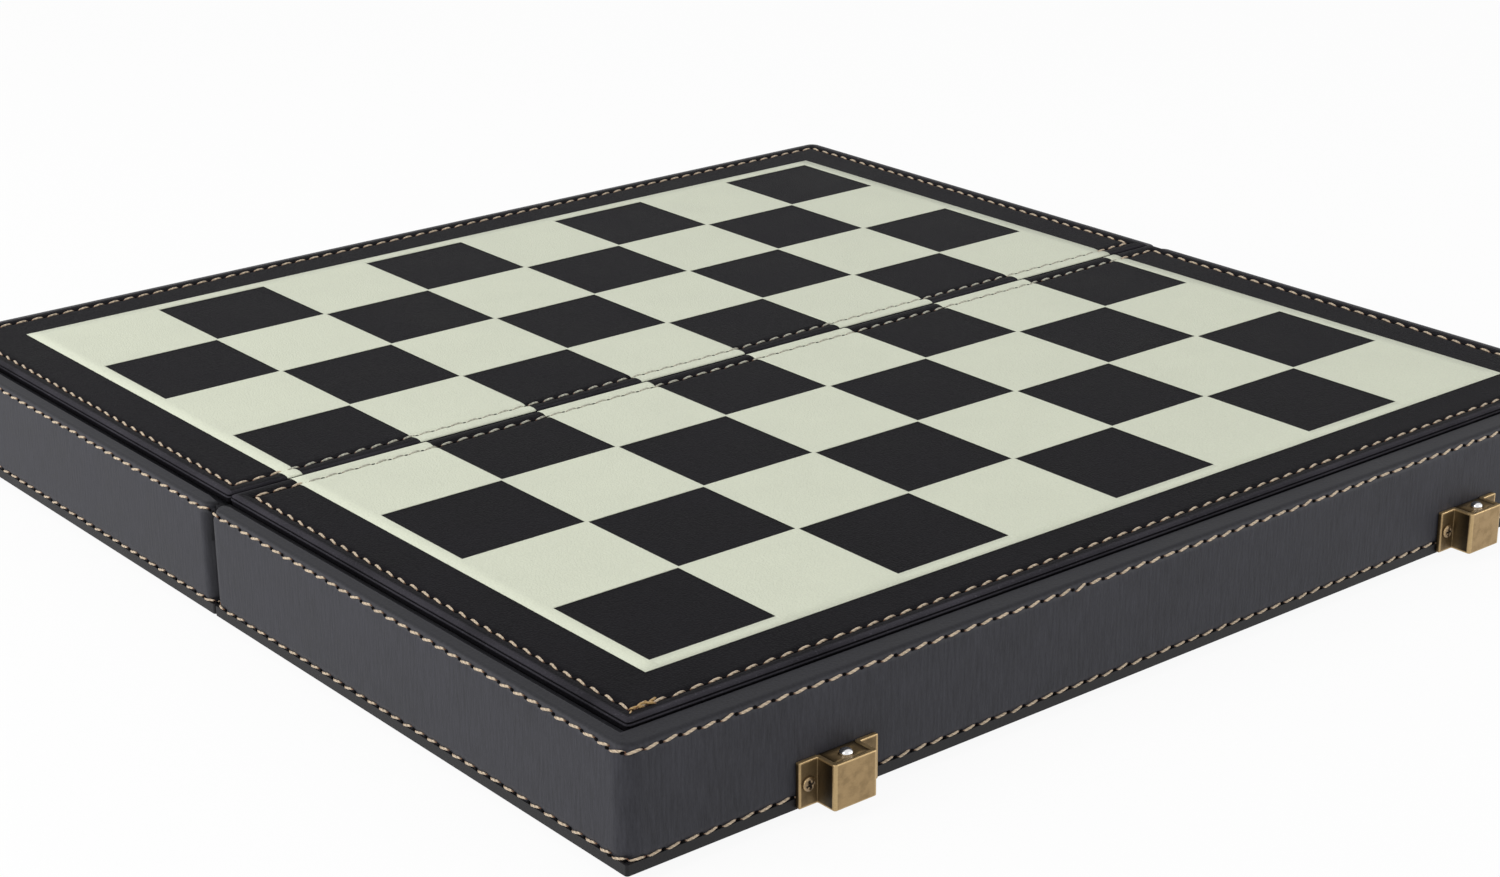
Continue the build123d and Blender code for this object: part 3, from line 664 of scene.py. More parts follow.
def add_needle_holes(half, places, stitches, finish):
    """Painted shade at the needle holes: dark flat lenses, each a hexagon between two low points, stretched along
    the row.
    """
    corners, stretch, depth = 6, 1.5, 0.12 * MM
    centres, tangents, normals = (np.concatenate(rows)[:, None] for rows in zip(*places))
    turn = full_turn(corners)[None, :, None]
    base = centres + tangents * stitches.pitch / 2
    ring = base + stitches.hole * (stretch * np.cos(turn) * tangents + np.sin(turn) * np.cross(normals, tangents))
    points = np.concatenate([ring, base + normals * depth, base - normals * depth], axis=1)
    sides = [(i, (i + 1) % corners) for i in range(corners)]
    lenses = Surfaces()
    lenses.add_copies(points, [[a, b, corners] for a, b in sides] + [[b, a, corners + 1] for a, b in sides])
    make_piece(half + "_needle_holes", lenses, half, half, finish, merge=False)


# Shaders: places are in millimetres, and the other numbers are shares of a tone, a roughness or a height
class Value:
    """A shader socket that takes part in Python arithmetic: each operation adds one Math node."""

    def __init__(self, shader, socket):
        self.shader = shader
        self.socket = socket

    def math(self, operation, other=0.0, swapped=False):
        first, second = (other, self) if swapped else (self, other)
        return self.shader.node("ShaderNodeMath", {"operation": operation}, {0: first, 1: second})

    def __add__(self, other):
        return self.math("ADD", other)

    def __sub__(self, other):
        return self.math("SUBTRACT", other)

    def __rsub__(self, other):
        return self.math("SUBTRACT", other, True)

    def __mul__(self, other):
        return self.math("MULTIPLY", other)

    __radd__ = __add__
    __rmul__ = __mul__

    def ramp(self, low, high):
        """Smooth step: 0 at low, 1 at high."""
        return self.shader.node("ShaderNodeMapRange", {"interpolation_type": "SMOOTHSTEP"},
                                {"Value": self, "From Min": low, "From Max": high})


class Shader:
    """Writes a node tree."""

    def __init__(self, tree):
        self.tree = tree
        tree.nodes.clear()

    def node(self, kind, settings, sockets, output=0):
        """Adds a node: settings first, then the values or links of its sockets; returns one output."""
        made = self.tree.nodes.new(kind)
        for key, setting in settings.items():
            setattr(made, key, setting)
        for key, given in sockets.items():
            if isinstance(given, Value):
                self.tree.links.new(given.socket, made.inputs[key])
            else:
                made.inputs[key].default_value = given
        return Value(self, made.outputs[output]) if made.outputs else None

    def parts(self, vector):
        """The three parts of a vector."""
        split = self.node("ShaderNodeSeparateXYZ", {}, {0: vector}).socket.node
        return [Value(self, output) for output in split.outputs]

    def seen(self):
        """1 where the camera looks, directly or through a mirror or glass, and 0 for other rays."""
        rays = self.node("ShaderNodeLightPath", {}, {}).socket.node.outputs
        camera, *others = (Value(self, rays[f"Is {ray} Ray"]) for ray in ("Camera", "Glossy", "Transmission"))
        for other in others:
            camera = camera.math("MAXIMUM", other)
        return camera


class Finish(Shader):
    """A material: its node tree, its object coordinates in millimetres and its Principled shader."""

    def __init__(self, name):
        self.material = bpy.data.materials.new(name)
        self.material.use_nodes = True
        super().__init__(self.material.node_tree)
        self.place = self.scaled(self.node("ShaderNodeTexCoord", {}, {}, "Object"), 1 / MM)

    def scaled(self, vector, factor):
        """A vector or colour times a factor."""
        given = vector if isinstance(vector, Value) else tuple(vector)
        return self.node("ShaderNodeVectorMath", {"operation": "SCALE"}, {0: given, "Scale": factor})

    def noise(self, scale, detail=2.0, stretch=None, output=0):
        """Soft noise around 0.5, with scale features to the millimetre, times the stretch along each axis."""
        place = self.place
        if stretch:
            place = self.node("ShaderNodeVectorMath", {"operation": "MULTIPLY"}, {0: place, 1: stretch})
        return self.node("ShaderNodeTexNoise", {}, {"Vector": place, "Scale": scale, "Detail": detail}, output)

    def creases(self, scale, warp, width):
        """0 on the borders of irregular cells, scale cells to the millimetre, and 1 beyond the width."""
        bent = self.noise(warp, 1.0, output="Color")
        place = self.node("ShaderNodeVectorMath", {"operation": "ADD"}, {0: self.place, 1: bent})
        return self.node("ShaderNodeTexVoronoi", {"feature": "DISTANCE_TO_EDGE"},
                         {"Vector": place, "Scale": scale}).ramp(0.0, width)

    def blend(self, factor, first, second):
        """Mix of two colours."""
        first, second = (c if isinstance(c, Value) else (*c, 1.0) for c in (first, second))
        return self.node("ShaderNodeMix", {"data_type": "RGBA"}, {0: factor, 6: first, 7: second}, 2)

    def mark(self, attribute, output):
        """A value that the mesh carries."""
        return self.node("ShaderNodeAttribute", {"attribute_name": attribute}, {}, output)

    def surface(self, base, tone, roughness, height=None, depth=0.1, **constants):
        """Principled shader of the base colour times the tone.

        height bumps the surface by up to depth millimetres, and the constants go on their sockets.
        """
        sockets = {"Base Color": self.scaled(base, tone), "Roughness": roughness}
        if height is not None:
            sockets["Normal"] = self.node("ShaderNodeBump", {}, {"Height": height, "Distance": depth * MM})
        sockets.update({key.replace("_", " "): given for key, given in constants.items()})
        shader = self.node("ShaderNodeBsdfPrincipled", {}, sockets)
        self.node("ShaderNodeOutputMaterial", {}, {"Surface": shader})
        return self.material


def grained_leather(name, base, shine, grain, gloss):
    """Leather cloth: fine cells creased into the surface, a soft mottle, and worn flecks that lighten it.

    The rolled edge gets a painted highlight, and a line of painted shade runs in the crease under it.
    """
    f = Finish(name)
    crease = f.creases(grain, grain * 0.7, 0.22)
    mottle = f.noise(0.05, 3.0)
    fleck = f.noise(2.2, 1.0).ramp(0.62, 0.8)
    x, y, z = f.parts(f.place)
    x, y = x.math("ABSOLUTE"), y.math("ABSOLUTE")
    edge, outer, crest = (float(at / MM) for at in (*PANEL_HIGH[:2], PANEL_HIGH[2] + RIM_Z))
    # painted highlight: the rolled edges of the panel and of the seam are lightened where gloss would catch the
    # light
    rolled = x.math("MAXIMUM", y + (edge - outer)).ramp(edge - 1.7, edge - 1.0)
    rolled = rolled.math("MAXIMUM", y.ramp(1.7, 0.9) * 0.6) * z.ramp(crest - 1.3, crest - 1.0)
    # painted shade: a dark line in the crease under the rolled edge
    crease_shade = z.ramp(crest - 0.9, crest - 0.75) * z.ramp(crest - 0.4, crest - 0.55)
    rolled = rolled * (fleck * 0.5 + mottle) * (1 - crease_shade * 0.9)
    tone = mottle * 1.1 + crease * 0.16 + fleck * 0.7 + 0.22 + rolled * 4.8 - crease_shade * 0.3
    return f.surface(base, tone, mottle * 0.2 + (shine - 0.1) - crease * 0.05, crease * 0.7 + fleck * 0.3, 0.06,
                     Specular_IOR_Level=gloss)


def brushed_leather(name, base, shine, gloss):
    """Side leather: upright streaks over a fine grain, in cloudy patches; painted shade on the ledge, in the
    groove and at the seam.
    """
    f = Finish(name)
    streak = f.noise(1.5, 4.0, (1.0, 1.0, 0.12))
    fine = f.noise(3.2, 2.0, (1.0, 1.0, 0.3))
    cloud = f.noise(0.06, 3.0)
    wall, ledge = (float(at / MM) for at in (COVER_HIGH[0], COVER_HIGH[2] + RIM_Z))
    x, y, z = f.parts(f.place)
    x, y = x.math("ABSOLUTE"), y.math("ABSOLUTE")
    # painted shade: the ledge's upper face, the groove round the panel and the walls beside the seam are darkened
    upper = z.ramp(ledge - 0.9, ledge - 0.2)
    groove = x.math("MAXIMUM", y).ramp(wall - 2.3, wall - 2.5) * z.ramp(ledge - 0.2, ledge - 0.6)
    seam = y.ramp(3.4, 0.8)
    tone = streak + fine * 0.4 + cloud * 0.6
    for dark in (upper, groove, seam):
        tone = tone * (1 - dark * 0.45)
    return f.surface(base, tone, cloud * 0.2 + streak * 0.12 + (shine - 0.16), streak * 0.6 + fine * 0.4, 0.07,
                     Specular_IOR_Level=gloss)


def printed_ivory(name, base):
    """Ivory ink over the leather's grain: slightly darker in the creases, with sparse specks."""
    f = Finish(name)
    crease = f.creases(1.3, 0.9, 0.2)
    mottle = f.noise(0.06, 3.0)
    speck = f.noise(1.4, 3.0).ramp(0.66, 0.74)
    return f.surface(base, crease * 0.05 + mottle * 0.1 + 0.9 - speck * 0.12, mottle * 0.1 + 0.5, crease, 0.04,
                     Specular_IOR_Level=0.22)


def sewing_thread(name, base, end):
    """Twisted thread: strands wind round it; painted shade darkens its ends, where they dip into the needle holes,
    and its underside.
    """
    f = Finish(name)
    along, cosine, sine = f.parts(f.mark("thread", "Vector"))
    turn = along * 9.0
    strand = turn.math("SINE") * cosine + turn.math("COSINE") * sine
    # painted shade: towards the ends and on the underside the colour turns to the dark end colour
    far = (along * along).ramp(0.3, 1.0)
    low = sine.ramp(0.1, -0.9)
    fuzz = f.noise(0.5)
    return f.surface(f.blend(far + low * 0.7, base, end), strand * 0.14 + fuzz * 0.6 + 0.62, 0.75, strand, 0.12,
                     Specular_IOR_Level=0.25, Sheen_Weight=0.15)


def smooth_edge(name, base):
    """Folded edge strip: smooth, with faint pressing marks."""
    f = Finish(name)
    grain, wave = f.noise(1.6, 3.0), f.noise(0.08)
    return f.surface(base, grain * 0.3 + wave * 0.3 + 0.7, wave * 0.2 + 0.42, grain, 0.05, Specular_IOR_Level=0.25)


def fibreboard(name, base, paint):
    """Raw fibreboard with flattened fibres, painted dark down to a little below the inserts' face."""
    f = Finish(name)
    fibre = f.noise(1.1, 5.0, (0.35, 1.0, 2.4))
    shade = f.blend((f.parts(f.place)[2] + fibre).ramp(9.0, 9.4), paint, base)
    return f.surface(shade, fibre * 0.7 + 0.62, 0.85, fibre, 0.12, Specular_IOR_Level=0.15)


def velvet_flock(name, base):
    """Short flock: a fine nap that catches light at a slant, brushed lighter in patches."""
    f = Finish(name)
    nap, brushed = f.noise(6.0, 4.0), f.noise(0.07)
    return f.surface(base, nap * 0.9 + brushed * 0.8 + 0.2, 0.95, nap, 0.25, Specular_IOR_Level=0.1,
                     Sheen_Weight=0.35, Sheen_Roughness=0.5)


def cast_brass(name, base, rubbed, shine, tarnish):
    """Satin brass with cloudy brown tarnish and fine scratches; rubbed bright on worn edges, and darkened by
    painted shade where the mesh's mark is below 0.
    """
    f = Finish(name)
    cloud = f.noise(0.45, 5.0).ramp(0.38, 0.7)
    scratch = f.noise(3.0, 3.0, (0.25, 1.0, 2.5))
    wear_and_shade = f.mark("wear_and_shade", "Fac")
    bright = (wear_and_shade + (scratch - 0.5) * 0.7).ramp(0.25, 0.95)
    # painted shade in recesses and on sides that face away from the light, where the mark is below 0
    deep = wear_and_shade.ramp(0.0, -0.6)
    shade = f.blend(bright, f.blend(cloud * tarnish, base, [c * 0.4 for c in base]), rubbed)
    return f.surface(shade, (scratch * 0.4 + 0.8) * (1 - deep * 0.93),
                     cloud * 0.16 + scratch * 0.1 + (shine - 0.1) - bright * 0.08, scratch, 0.03, Metallic=0.85)


def plain_metal(name, base, shine):
    """Bright metal with faint wiping marks."""
    f = Finish(name)
    wipe = f.noise(0.9, 3.0, (1.0, 0.3, 1.0))
    return f.surface(base, wipe * 0.16 + 0.9, wipe * 0.12 + (shine - 0.05), wipe, 0.01, Metallic=1.0)


def shade_of_holes(name, base):
    """Unlit inside of a needle hole."""
    f = Finish(name)
    return f.surface(base, f.noise(2.0, 1.0) + 0.5, 0.9, Specular_IOR_Level=0.05)


def finish_of(c, key):
    """The finish with that name in the colours c, made when it is first asked for."""
    made = bpy.data.materials.get(key)
    if made:
        return made
    write, *values = {
        "playing_leather": (grained_leather, c.black_leather, 0.5, 1.3, 0.015),
        "wall_leather": (brushed_leather, c.side_leather, 0.5, 0.15),
        "ivory_ink": (printed_ivory, c.ivory),
        "thread": (sewing_thread, c.thread, c.thread_shade),
        "inked_thread": (sewing_thread, c.inked, c.thread_shade),
        "knotted_thread": (sewing_thread, c.knot, c.thread_shade),
        "needle_hole": (shade_of_holes, c.needle_hole),
        "edge_strip": (smooth_edge, c.trim),
        "boards": (fibreboard, c.fibreboard, c.flock),
        "flock": (velvet_flock, c.flock),
        "antique_brass_sheet": (cast_brass, c.brass, c.worn_brass, 0.46, 0.36),
        "hinge_metal": (cast_brass, c.hinge_brass, c.worn_brass, 0.34, 0.25),
        "screw_metal_finish": (cast_brass, c.screw, c.worn_brass, 0.36, 0.5),
        "button_metal": (plain_metal, c.chrome, 0.12),
        "spring_metal": (plain_metal, c.steel, 0.32),
    }[key]
    return write(key, *values)


# Inserts and lining
def officer_lengths(inserts):
    """Officer pocket lengths by column, as shares of the longest one."""
    return np.array([46, 52, 56, 64, 70, 56, 52, 46]) / 70 * inserts.officer_length


def add_insert(name, half, node, pocket_start, pocket_lengths, pocket_width, inserts, finish):
    """One flocked insert: a block with eight pockets, with rounded edges.

    Each column is a band of outlines that grow from the foot of its pocket up the wall, over a quarter circle and
    on to the column's own rectangle, and back under the block. A last band rounds the block's own edge.
    """
    low, high = half_box(node)
    bottom, top, edge, spacing = low[2], high[2], inserts.edge, 1.5 * MM
    counts = np.array([24, 8 * round((high[1] - low[1]) / (8 * spacing))])
    side, along = round_rectangle(counts)
    block = Surfaces()
    pitch, cell = ((high[0] - low[0] - 2 * inset) / SQUARES for inset in (0, edge))
    rims = [(0.0, top)] + [(edge - dx, bottom + edge - dw) for dx, dw in arc_line(edge, 6, 0, 90)]
    for column, length in enumerate(pocket_lengths):
        pocket_low = np.array([low[0] + (column + 0.5) * pitch - pocket_width / 2, pocket_start])
        pocket_high = pocket_low + [pocket_width, length]
        cell_ring = outline_points(side, along, (low[0] + edge + column * cell, low[1] + edge),
                                   (low[0] + edge + (column + 1) * cell, high[1] - edge))
        rings = [raised(cell_ring, top)]
        for grow, w in rims:
            radius = inserts.pocket_corner + grow
            pocket_ring = outline_points(side, along, pocket_low - grow, pocket_high + grow, radius, radius)
            rings.append(raised(pocket_ring, w))
        rings += [raised(pocket_ring * (1 - mix) + cell_ring * mix, bottom) for mix in (0.35, 0.7, 1.0)]
        block.add_grid(rings, close_columns=True)
    side, along = round_rectangle(counts * [SQUARES, 1])
    slopes = np.linspace(0, np.pi / 2, 6)
    rims = [(edge - edge * math.sin(a), bottom + edge - edge * math.cos(a)) for a in slopes]
    block.add_grid([raised(outline_points(side, along, low[:2] + inset, high[:2] - inset), w)
                    for inset, w in rims + [(0.0, top), (edge, top)]], close_columns=True)
    piece = make_piece(name, block, half, half, finish)
    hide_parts(half + "_" + node)


def add_lining(half, finish):
    """Lining sheet glued under the core: a flat grid with a faint ripple of crossed sine waves."""
    low, high = half_box("floor_lining")
    depth, wave_x, wave_s = 0.03 * MM, 7 * MM, 9 * MM
    x, s = np.meshgrid(np.linspace(low[0], high[0], 96), np.linspace(low[1], high[1], 48))
    ripple = depth * (np.sin(x / wave_x) * np.sin(s / wave_s) - 1)
    sheet = Surfaces()
    sheet.add_grid(np.stack([x, s, high[2] + ripple], axis=-1))
    piece = make_piece(half + "_lining_sheet", sheet, half, half, finish, merge=False)
    thicken(piece, "Lining thickness", high[2] - low[2] - 2 * depth)
    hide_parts(half + "_floor_lining")


# Latches and strikes, in their own frame: x from the middle, v outwards from the wall, h upwards from the mouth
def on_wall(x, latches):
    """Origin of a latch's frame in its half."""
    return np.array([x, COVER_HIGH[1], latches.lift])


def sheet_section(latches):
    """Offsets (from the outer face, inwards negative), heights and wear of the sheet's upright section.

    A rounded rectangle; the wear falls from 1 on its rounded edges to 0 at the rubbed width.
    """
    thick, e, tall, band = latches.sheet, latches.edge, latches.height, latches.rubbed
    points = []
    for across, up, start in ((-e, tall - e, 0), (-thick + e, tall - e, 90), (-thick + e, e, 180), (-e, e, 270)):
        points += [(a, h, 1.0) for a, h in arc_line(e, 4, start, 90) + [across, up]]
        if start == 90:
            points += [(-thick, tall - e - band, 0.0), (-thick, e + band, 0.0)]
        if start == 270:
            points += [(0.0, e + band, 0.0), (0.0, tall - e - band, 0.0)]
    return np.array(points)


def add_hat(shell, latches):
    """Hat-shaped sheet: its upright section carried along the flange, out, across the box and back to the flange.

    At every corner each offset line meets in its own mitre, rounded with its own radius. The first and last
    stations close in on the flanges' ends along a quarter circle. A mark below 0 paints shade on the sheet, and 1
    rubs it.
    """
    thick, e, tall, corner_radius = latches.sheet, latches.edge, latches.height, latches.flange_corner
    # marks: painted shade on the flanges and, darker, on the box's sides; the front bends are rubbed
    flange, flank, front_face, bent = -0.32, -0.6, 0.0, 1.0
    flange_bend = latches.bend - 0.4 * MM
    offset, height, worn = sheet_section(latches).T
    half, box, out = latches.flange_width / 2, latches.box_width / 2, latches.stands_out
    corners = np.array([(-half, thick), (-box, thick), (-box, out), (box, out), (box, thick), (half, thick)])
    ways = np.diff(corners, axis=0)
    ways /= np.linalg.norm(ways, axis=1, keepdims=True)
    sides = np.stack([-ways[:, 1], ways[:, 0]], axis=-1)
    rows, wear_and_shade = [], []

    def station(flat, mark):
        """One row of the sheet; between its rubbed edges it takes the mark: rubbed above 0, painted shade below.
        """
        rows.append(raised(flat, height))
        wear_and_shade.append(worn + mark * (1 - worn))

    def flange_end(corner, way, side, order):
        """Stations that round the end of a flange."""
        for degrees in order:
            # painted shade on the flange's face near its end, which is rubbed at its very tip
            mark = np.interp(degrees, [0, 30, 60, 90], [-0.42, -0.3, 0.7, 1.0])
            level, inset = 1 - math.cos(math.radians(degrees)), 1 - math.sin(math.radians(degrees))
            across = np.clip(offset, -thick + e * inset, -e * inset)[:, None]
            up = np.clip(height, corner_radius * inset, tall - corner_radius * inset)
            rows.append(raised(corner + way * corner_radius * level + side * across, up))
            wear_and_shade.append(np.full(len(worn), mark))

    order = (0, 30, 60, 90)
    run = corner_radius + latches.rubbed
    clear = latches.bend + latches.rubbed
    flange_end(corners[0], ways[0], sides[0], order)
    station(corners[0] + ways[0] * run + sides[0] * offset[:, None], flange)
    for index in range(1, 5):
        before, after = ways[index - 1], ways[index]
        mitre = corners[index] + (sides[index - 1] + sides[index]) * offset[:, None]
        front = index in (2, 3)
        radius = latches.bend + offset if front else flange_bend - offset
        radius = np.clip(radius, 0, thick * 0.8)[:, None]
        if front:
            station(mitre - before * clear, flank if index == 2 else front_face)
        for turn in np.radians(np.linspace(0, 90, 6)):
            flat = mitre - before * radius * (1 - np.sin(turn)) + after * radius * (1 - np.cos(turn))
            station(flat, bent if front else flange)
        if front:
            station(mitre + after * clear, front_face if index == 2 else flank)
    station(corners[5] - ways[4] * run + sides[4] * offset[:, None], flange)
    flange_end(corners[5], -ways[4], sides[4], order[::-1])
    shell.add_tube(rows, wear_and_shade)


def add_plate(shell, latches, bottom, top, back, hole):
    """Plate inside the box with a round hole for the button or its stem: one closed ring of five lines."""
    half, front = latches.box_width / 2 - latches.sheet, latches.stands_out - latches.sheet
    bevel = 0.1 * MM
    edge = outline_points(*round_rectangle([8, 8]), (-half, back), (half, front))
    middle = [0, latches.button_place]
    ring = (edge - middle) / np.linalg.norm(edge - middle, axis=-1, keepdims=True)
    lines = [(hole, bottom), (hole, top - bevel), (hole + bevel, top)]
    rings = [raised(ring * r + middle, h) for r, h in lines] + [raised(edge, h) for h in (top, bottom)]
    # marks: painted shade on the recessed plate's faces, a trace of rubbing on the hole's rim
    wear_and_shade = np.array([-0.4, 0.1, 0.1, -0.5, -0.5])[:, None]
    shell.add_grid(rings, close_rows=True, close_columns=True, wear_and_shade=wear_and_shade)


def add_prism(shell, points, half_width, edge, wear_and_shade=0.0):
    """Bar with the section points (v, h), along x; both ends step in by the edge towards the section's middle."""
    section = np.array(points, float)
    middle = section.mean(axis=0)
    spread = np.abs(section - middle).max()
    inner = half_width - edge
    rows = []
    for place, shrink in ((-half_width, edge), (-inner, 0.0), (inner, 0.0), (half_width, edge)):
        flat = middle + (section - middle) * (1 - shrink / spread)
        rows.append(np.insert(flat, 0, place, axis=1))
    shell.add_tube(rows, wear_and_shade)


def add_bracket(side, half, x, latches, finish):
    """Housing or strike: the hat, with the plates of the button or the block with the barbed tongue in its box."""
    shell = Surfaces(on_wall(x, latches))
    add_hat(shell, latches)
    thick, tall = latches.sheet, latches.height
    top = tall - latches.plate_recess
    if half == "latch_half":
        button_gap, stem_hole = 0.08 * MM, 0.68 * MM
        shelf_bottom, shelf_top, shelf_back = 6.0 * MM, 6.5 * MM, 0.4 * MM
        add_plate(shell, latches, tall - thick, top, 0.0, latches.dome_radius + button_gap)
        add_plate(shell, latches, shelf_bottom, shelf_top, shelf_back, stem_hole)
        name, node = side + "_latch_bracket", side + "_latch_housing"
    else:
        mouth, tongue_half, rubbed = 4.0 * MM, 2.6 * MM, 0.7
        inner, deep = latches.box_width / 2 - thick, latches.stands_out - thick
        add_prism(shell, [(0.0, mouth), (deep, mouth), (deep, top), (0.0, top)], inner, 0.05 * MM)
        tongue = [(1.4, 5.0), (1.4, -2.7), (1.8, -3.1), (2.4, -3.1), (2.95, -2.4), (2.95, -2.05), (2.4, -2.05),
                  (2.4, 5.0)]
        add_prism(shell, np.array(tongue) * MM, tongue_half, 0.15 * MM, rubbed)
        name, node = side + "_strike_bracket", side + "_strike"
    piece = make_piece(name, shell, half, half, finish)
    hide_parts(node)


def add_button(side, x, latches, finish):
    """Push button: a profile of radii and heights turned about its axis, with a foot over the lever."""
    tall, dome, rise = latches.height, latches.dome_radius, latches.dome_height
    foot, foot_top, foot_back, foot_front, foot_half = (n * MM for n in (5.3, 5.9, 0.9, 3.8, 1.4))
    stem, collar, low, bevel = (n * MM for n in (0.6, 1.85, 8.1, 0.08))
    high = tall - latches.sheet
    crown = [(dome * math.cos(a), tall + rise * math.sin(a)) for a in np.radians(np.linspace(0, 84, 9))]
    profile = [(stem * 0.1, foot), (stem, foot), (stem, low), (collar - bevel, low), (collar, low + bevel),
               (collar, high - bevel), (collar - bevel, high), (dome, high), *crown, (dome * 0.02, tall + rise)]
    shell = Surfaces(on_wall(x, latches))
    shell.add_tube(turned(profile, full_turn(32), latches.button_place))
    base = [(foot_back, foot), (foot_front, foot), (foot_front, foot_top), (foot_back, foot_top)]
    add_prism(shell, base, foot_half, 0.1 * MM)
    piece = make_piece(side + "_push_button", shell, "latch_half", side + "_button", finish)
    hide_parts(side + "_latch_button")


def add_spring(side, x, latches, finish):
    """Coil spring of a button: a round wire along a helix between shelf and collar."""
    node = side + "_latch_spring"
    low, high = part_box(node)
    wire, turns, steps = 0.12 * MM, 3, 20
    turn = np.linspace(0, 2 * np.pi * turns, steps * turns + 1)
    height = np.interp(turn, (0, turn[-1]), (low.z + wire, high.z - wire)) - RIM_Z - latches.lift
    around = full_turn(6)[:, None]
    radius = (high.x - low.x) / 2 - wire + wire * np.cos(around)
    rings = turned(zip(radius, height + wire * np.sin(around)), turn, latches.button_place)
    shell = Surfaces(on_wall(x, latches))
    shell.add_tube(rings.transpose(1, 0, 2))
    piece = make_piece(side + "_coil_spring", shell, "latch_half", None, finish)
    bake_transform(piece)
    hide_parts(node)


def screw_rings(radius, crown, sink, shank, length, spin):
    """Screw along z with a crossed recess, spun about it: points (lines, around, 3) and marks: rubbed on the rim,
    painted shade (-1) in the recess.

    A pan head has a crown and no sink, a countersunk head the reverse. The lines of the recess follow a plus
    sign: at the angle q to the nearest arm they lie at the arm's reach / cos q, or where that is outside the arm,
    at half the arm's width / sin q.
    """
    beside = 0.26  # from the middle line of an arm, or of the gap between two, to the lines beside it
    turn = np.arange(24) // 3 * np.pi / 4 + np.tile([-beside, 0.0, beside], 8)
    near = np.abs((turn + np.pi / 4) % (np.pi / 2) - np.pi / 4)
    reach, arm, taper, point = 0.7 * radius, 0.19 * radius, 0.86, 0.03
    plus = np.minimum(reach / np.cos(near), arm / np.maximum(np.sin(near), TINY))
    rim = 0.35 * crown
    floor = 0.3 * crown - 0.5 * sink

    def dome(part):
        """Height of the head at a part of its radius: an ellipse over its rim."""
        return rim + (crown - rim) * np.sqrt(1 - part ** 2)

    lines = [(0.05 * shank, -length), (shank, -length + shank), (shank, -sink), (radius, 0.0), (radius, rim)]
    lines += [(part * radius, dome(part)) for part in (0.97, 0.88, 0.72)]
    lines += [(plus, dome(plus / radius)), (plus * taper, floor), (point * radius, floor)]
    # marks: rubbed on the head's rim, painted shade in the cross recess
    wear_and_shade = np.array([0.0] * 4 + [0.5, 0.8, 0.4, 0.1, -0.1, -1.0, -1.0])[:, None]
    return turned(lines, turn + math.radians(spin)), wear_and_shade


def add_flange_screws(half, places, latches, finish):
    """The four screws of one half's latches or strikes, each with its recess turned its own way."""
    length = 7.0 * MM
    shell = Surfaces()
    for index, x in enumerate(places):
        spin = 17 + 37 * index
        rings, wear_and_shade = screw_rings(latches.screw_head, latches.screw_crown, 0.0, latches.shank, length, spin)
        shell.origin = on_wall(x, latches) + [0, latches.sheet, latches.height / 2]
        shell.add_tube(rings[..., [0, 2, 1]], wear_and_shade)
    piece = make_piece(half + "_pan_screws", shell, half, half, finish)
    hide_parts("latch_screws" if half == "latch_half" else "strike_screws")


def add_hinge_screws(half, latches, finish):
    """The four countersunk screws of one half's hinge leaves, heads down, inside the frame's box of them."""
    low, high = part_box("hinge_screws_" + half)
    head = abs(high.y - low.y) / 2
    shell = Surfaces()
    for index, side in enumerate(SIDES):
        pin_low, pin_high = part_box(side + "_hinge_pin")
        middle = (pin_low.x + pin_high.x) / 2
        for sign in (-1, 1):
            spin = 23 + 31 * index + 49 * sign
            rings, wear_and_shade = screw_rings(head, 0.0, head - latches.shank, latches.shank, high.z - low.z, spin)
            shell.origin = (middle + sign * (high.x - head - abs(middle)), abs(high.y + low.y) / 2, low.z - RIM_Z)
            shell.add_tube(rings * [1, 1, -1], wear_and_shade)
    piece = make_piece(half + "_hinge_screws", shell, half, half, finish)
    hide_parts("hinge_screws_" + half)


# Operators
class CHESSBOARD_OT_playing_covers(bpy.types.Operator):
    """Add the two playing covers with their rolled edges and stitch channels"""
    bl_idname = "chessboard.playing_covers"
    bl_label = "Playing covers"

    def execute(self, context):
        scene = context.scene
        finish = finish_of(scene.board_colours, "playing_leather")
        for half in HALVES:
            add_playing_cover(half, scene.board_covers, scene.board_stitches, finish)
        return {"FINISHED"}


class CHESSBOARD_OT_ivory_print(bpy.types.Operator):
    """Add the ivory squares and their outline"""
    bl_idname = "chessboard.ivory_print"
    bl_label = "Ivory print"

    def execute(self, context):
        scene = context.scene
        finish = finish_of(scene.board_colours, "ivory_ink")
        for half, dark_parity in zip(HALVES, (1, 0)):
            add_print(half, dark_parity, scene.board_covers, scene.board_print, scene.board_stitches, finish)
        return {"FINISHED"}


class CHESSBOARD_OT_side_covers(bpy.types.Operator):
    """Add the two side covers with their ledges"""
    bl_idname = "chessboard.side_covers"
    bl_label = "Side covers"

    def execute(self, context):
        scene = context.scene
        finish = finish_of(scene.board_colours, "wall_leather")
        for half in HALVES:
            add_side_cover(half, scene.board_covers, scene.board_stitches, finish)
        return {"FINISHED"}


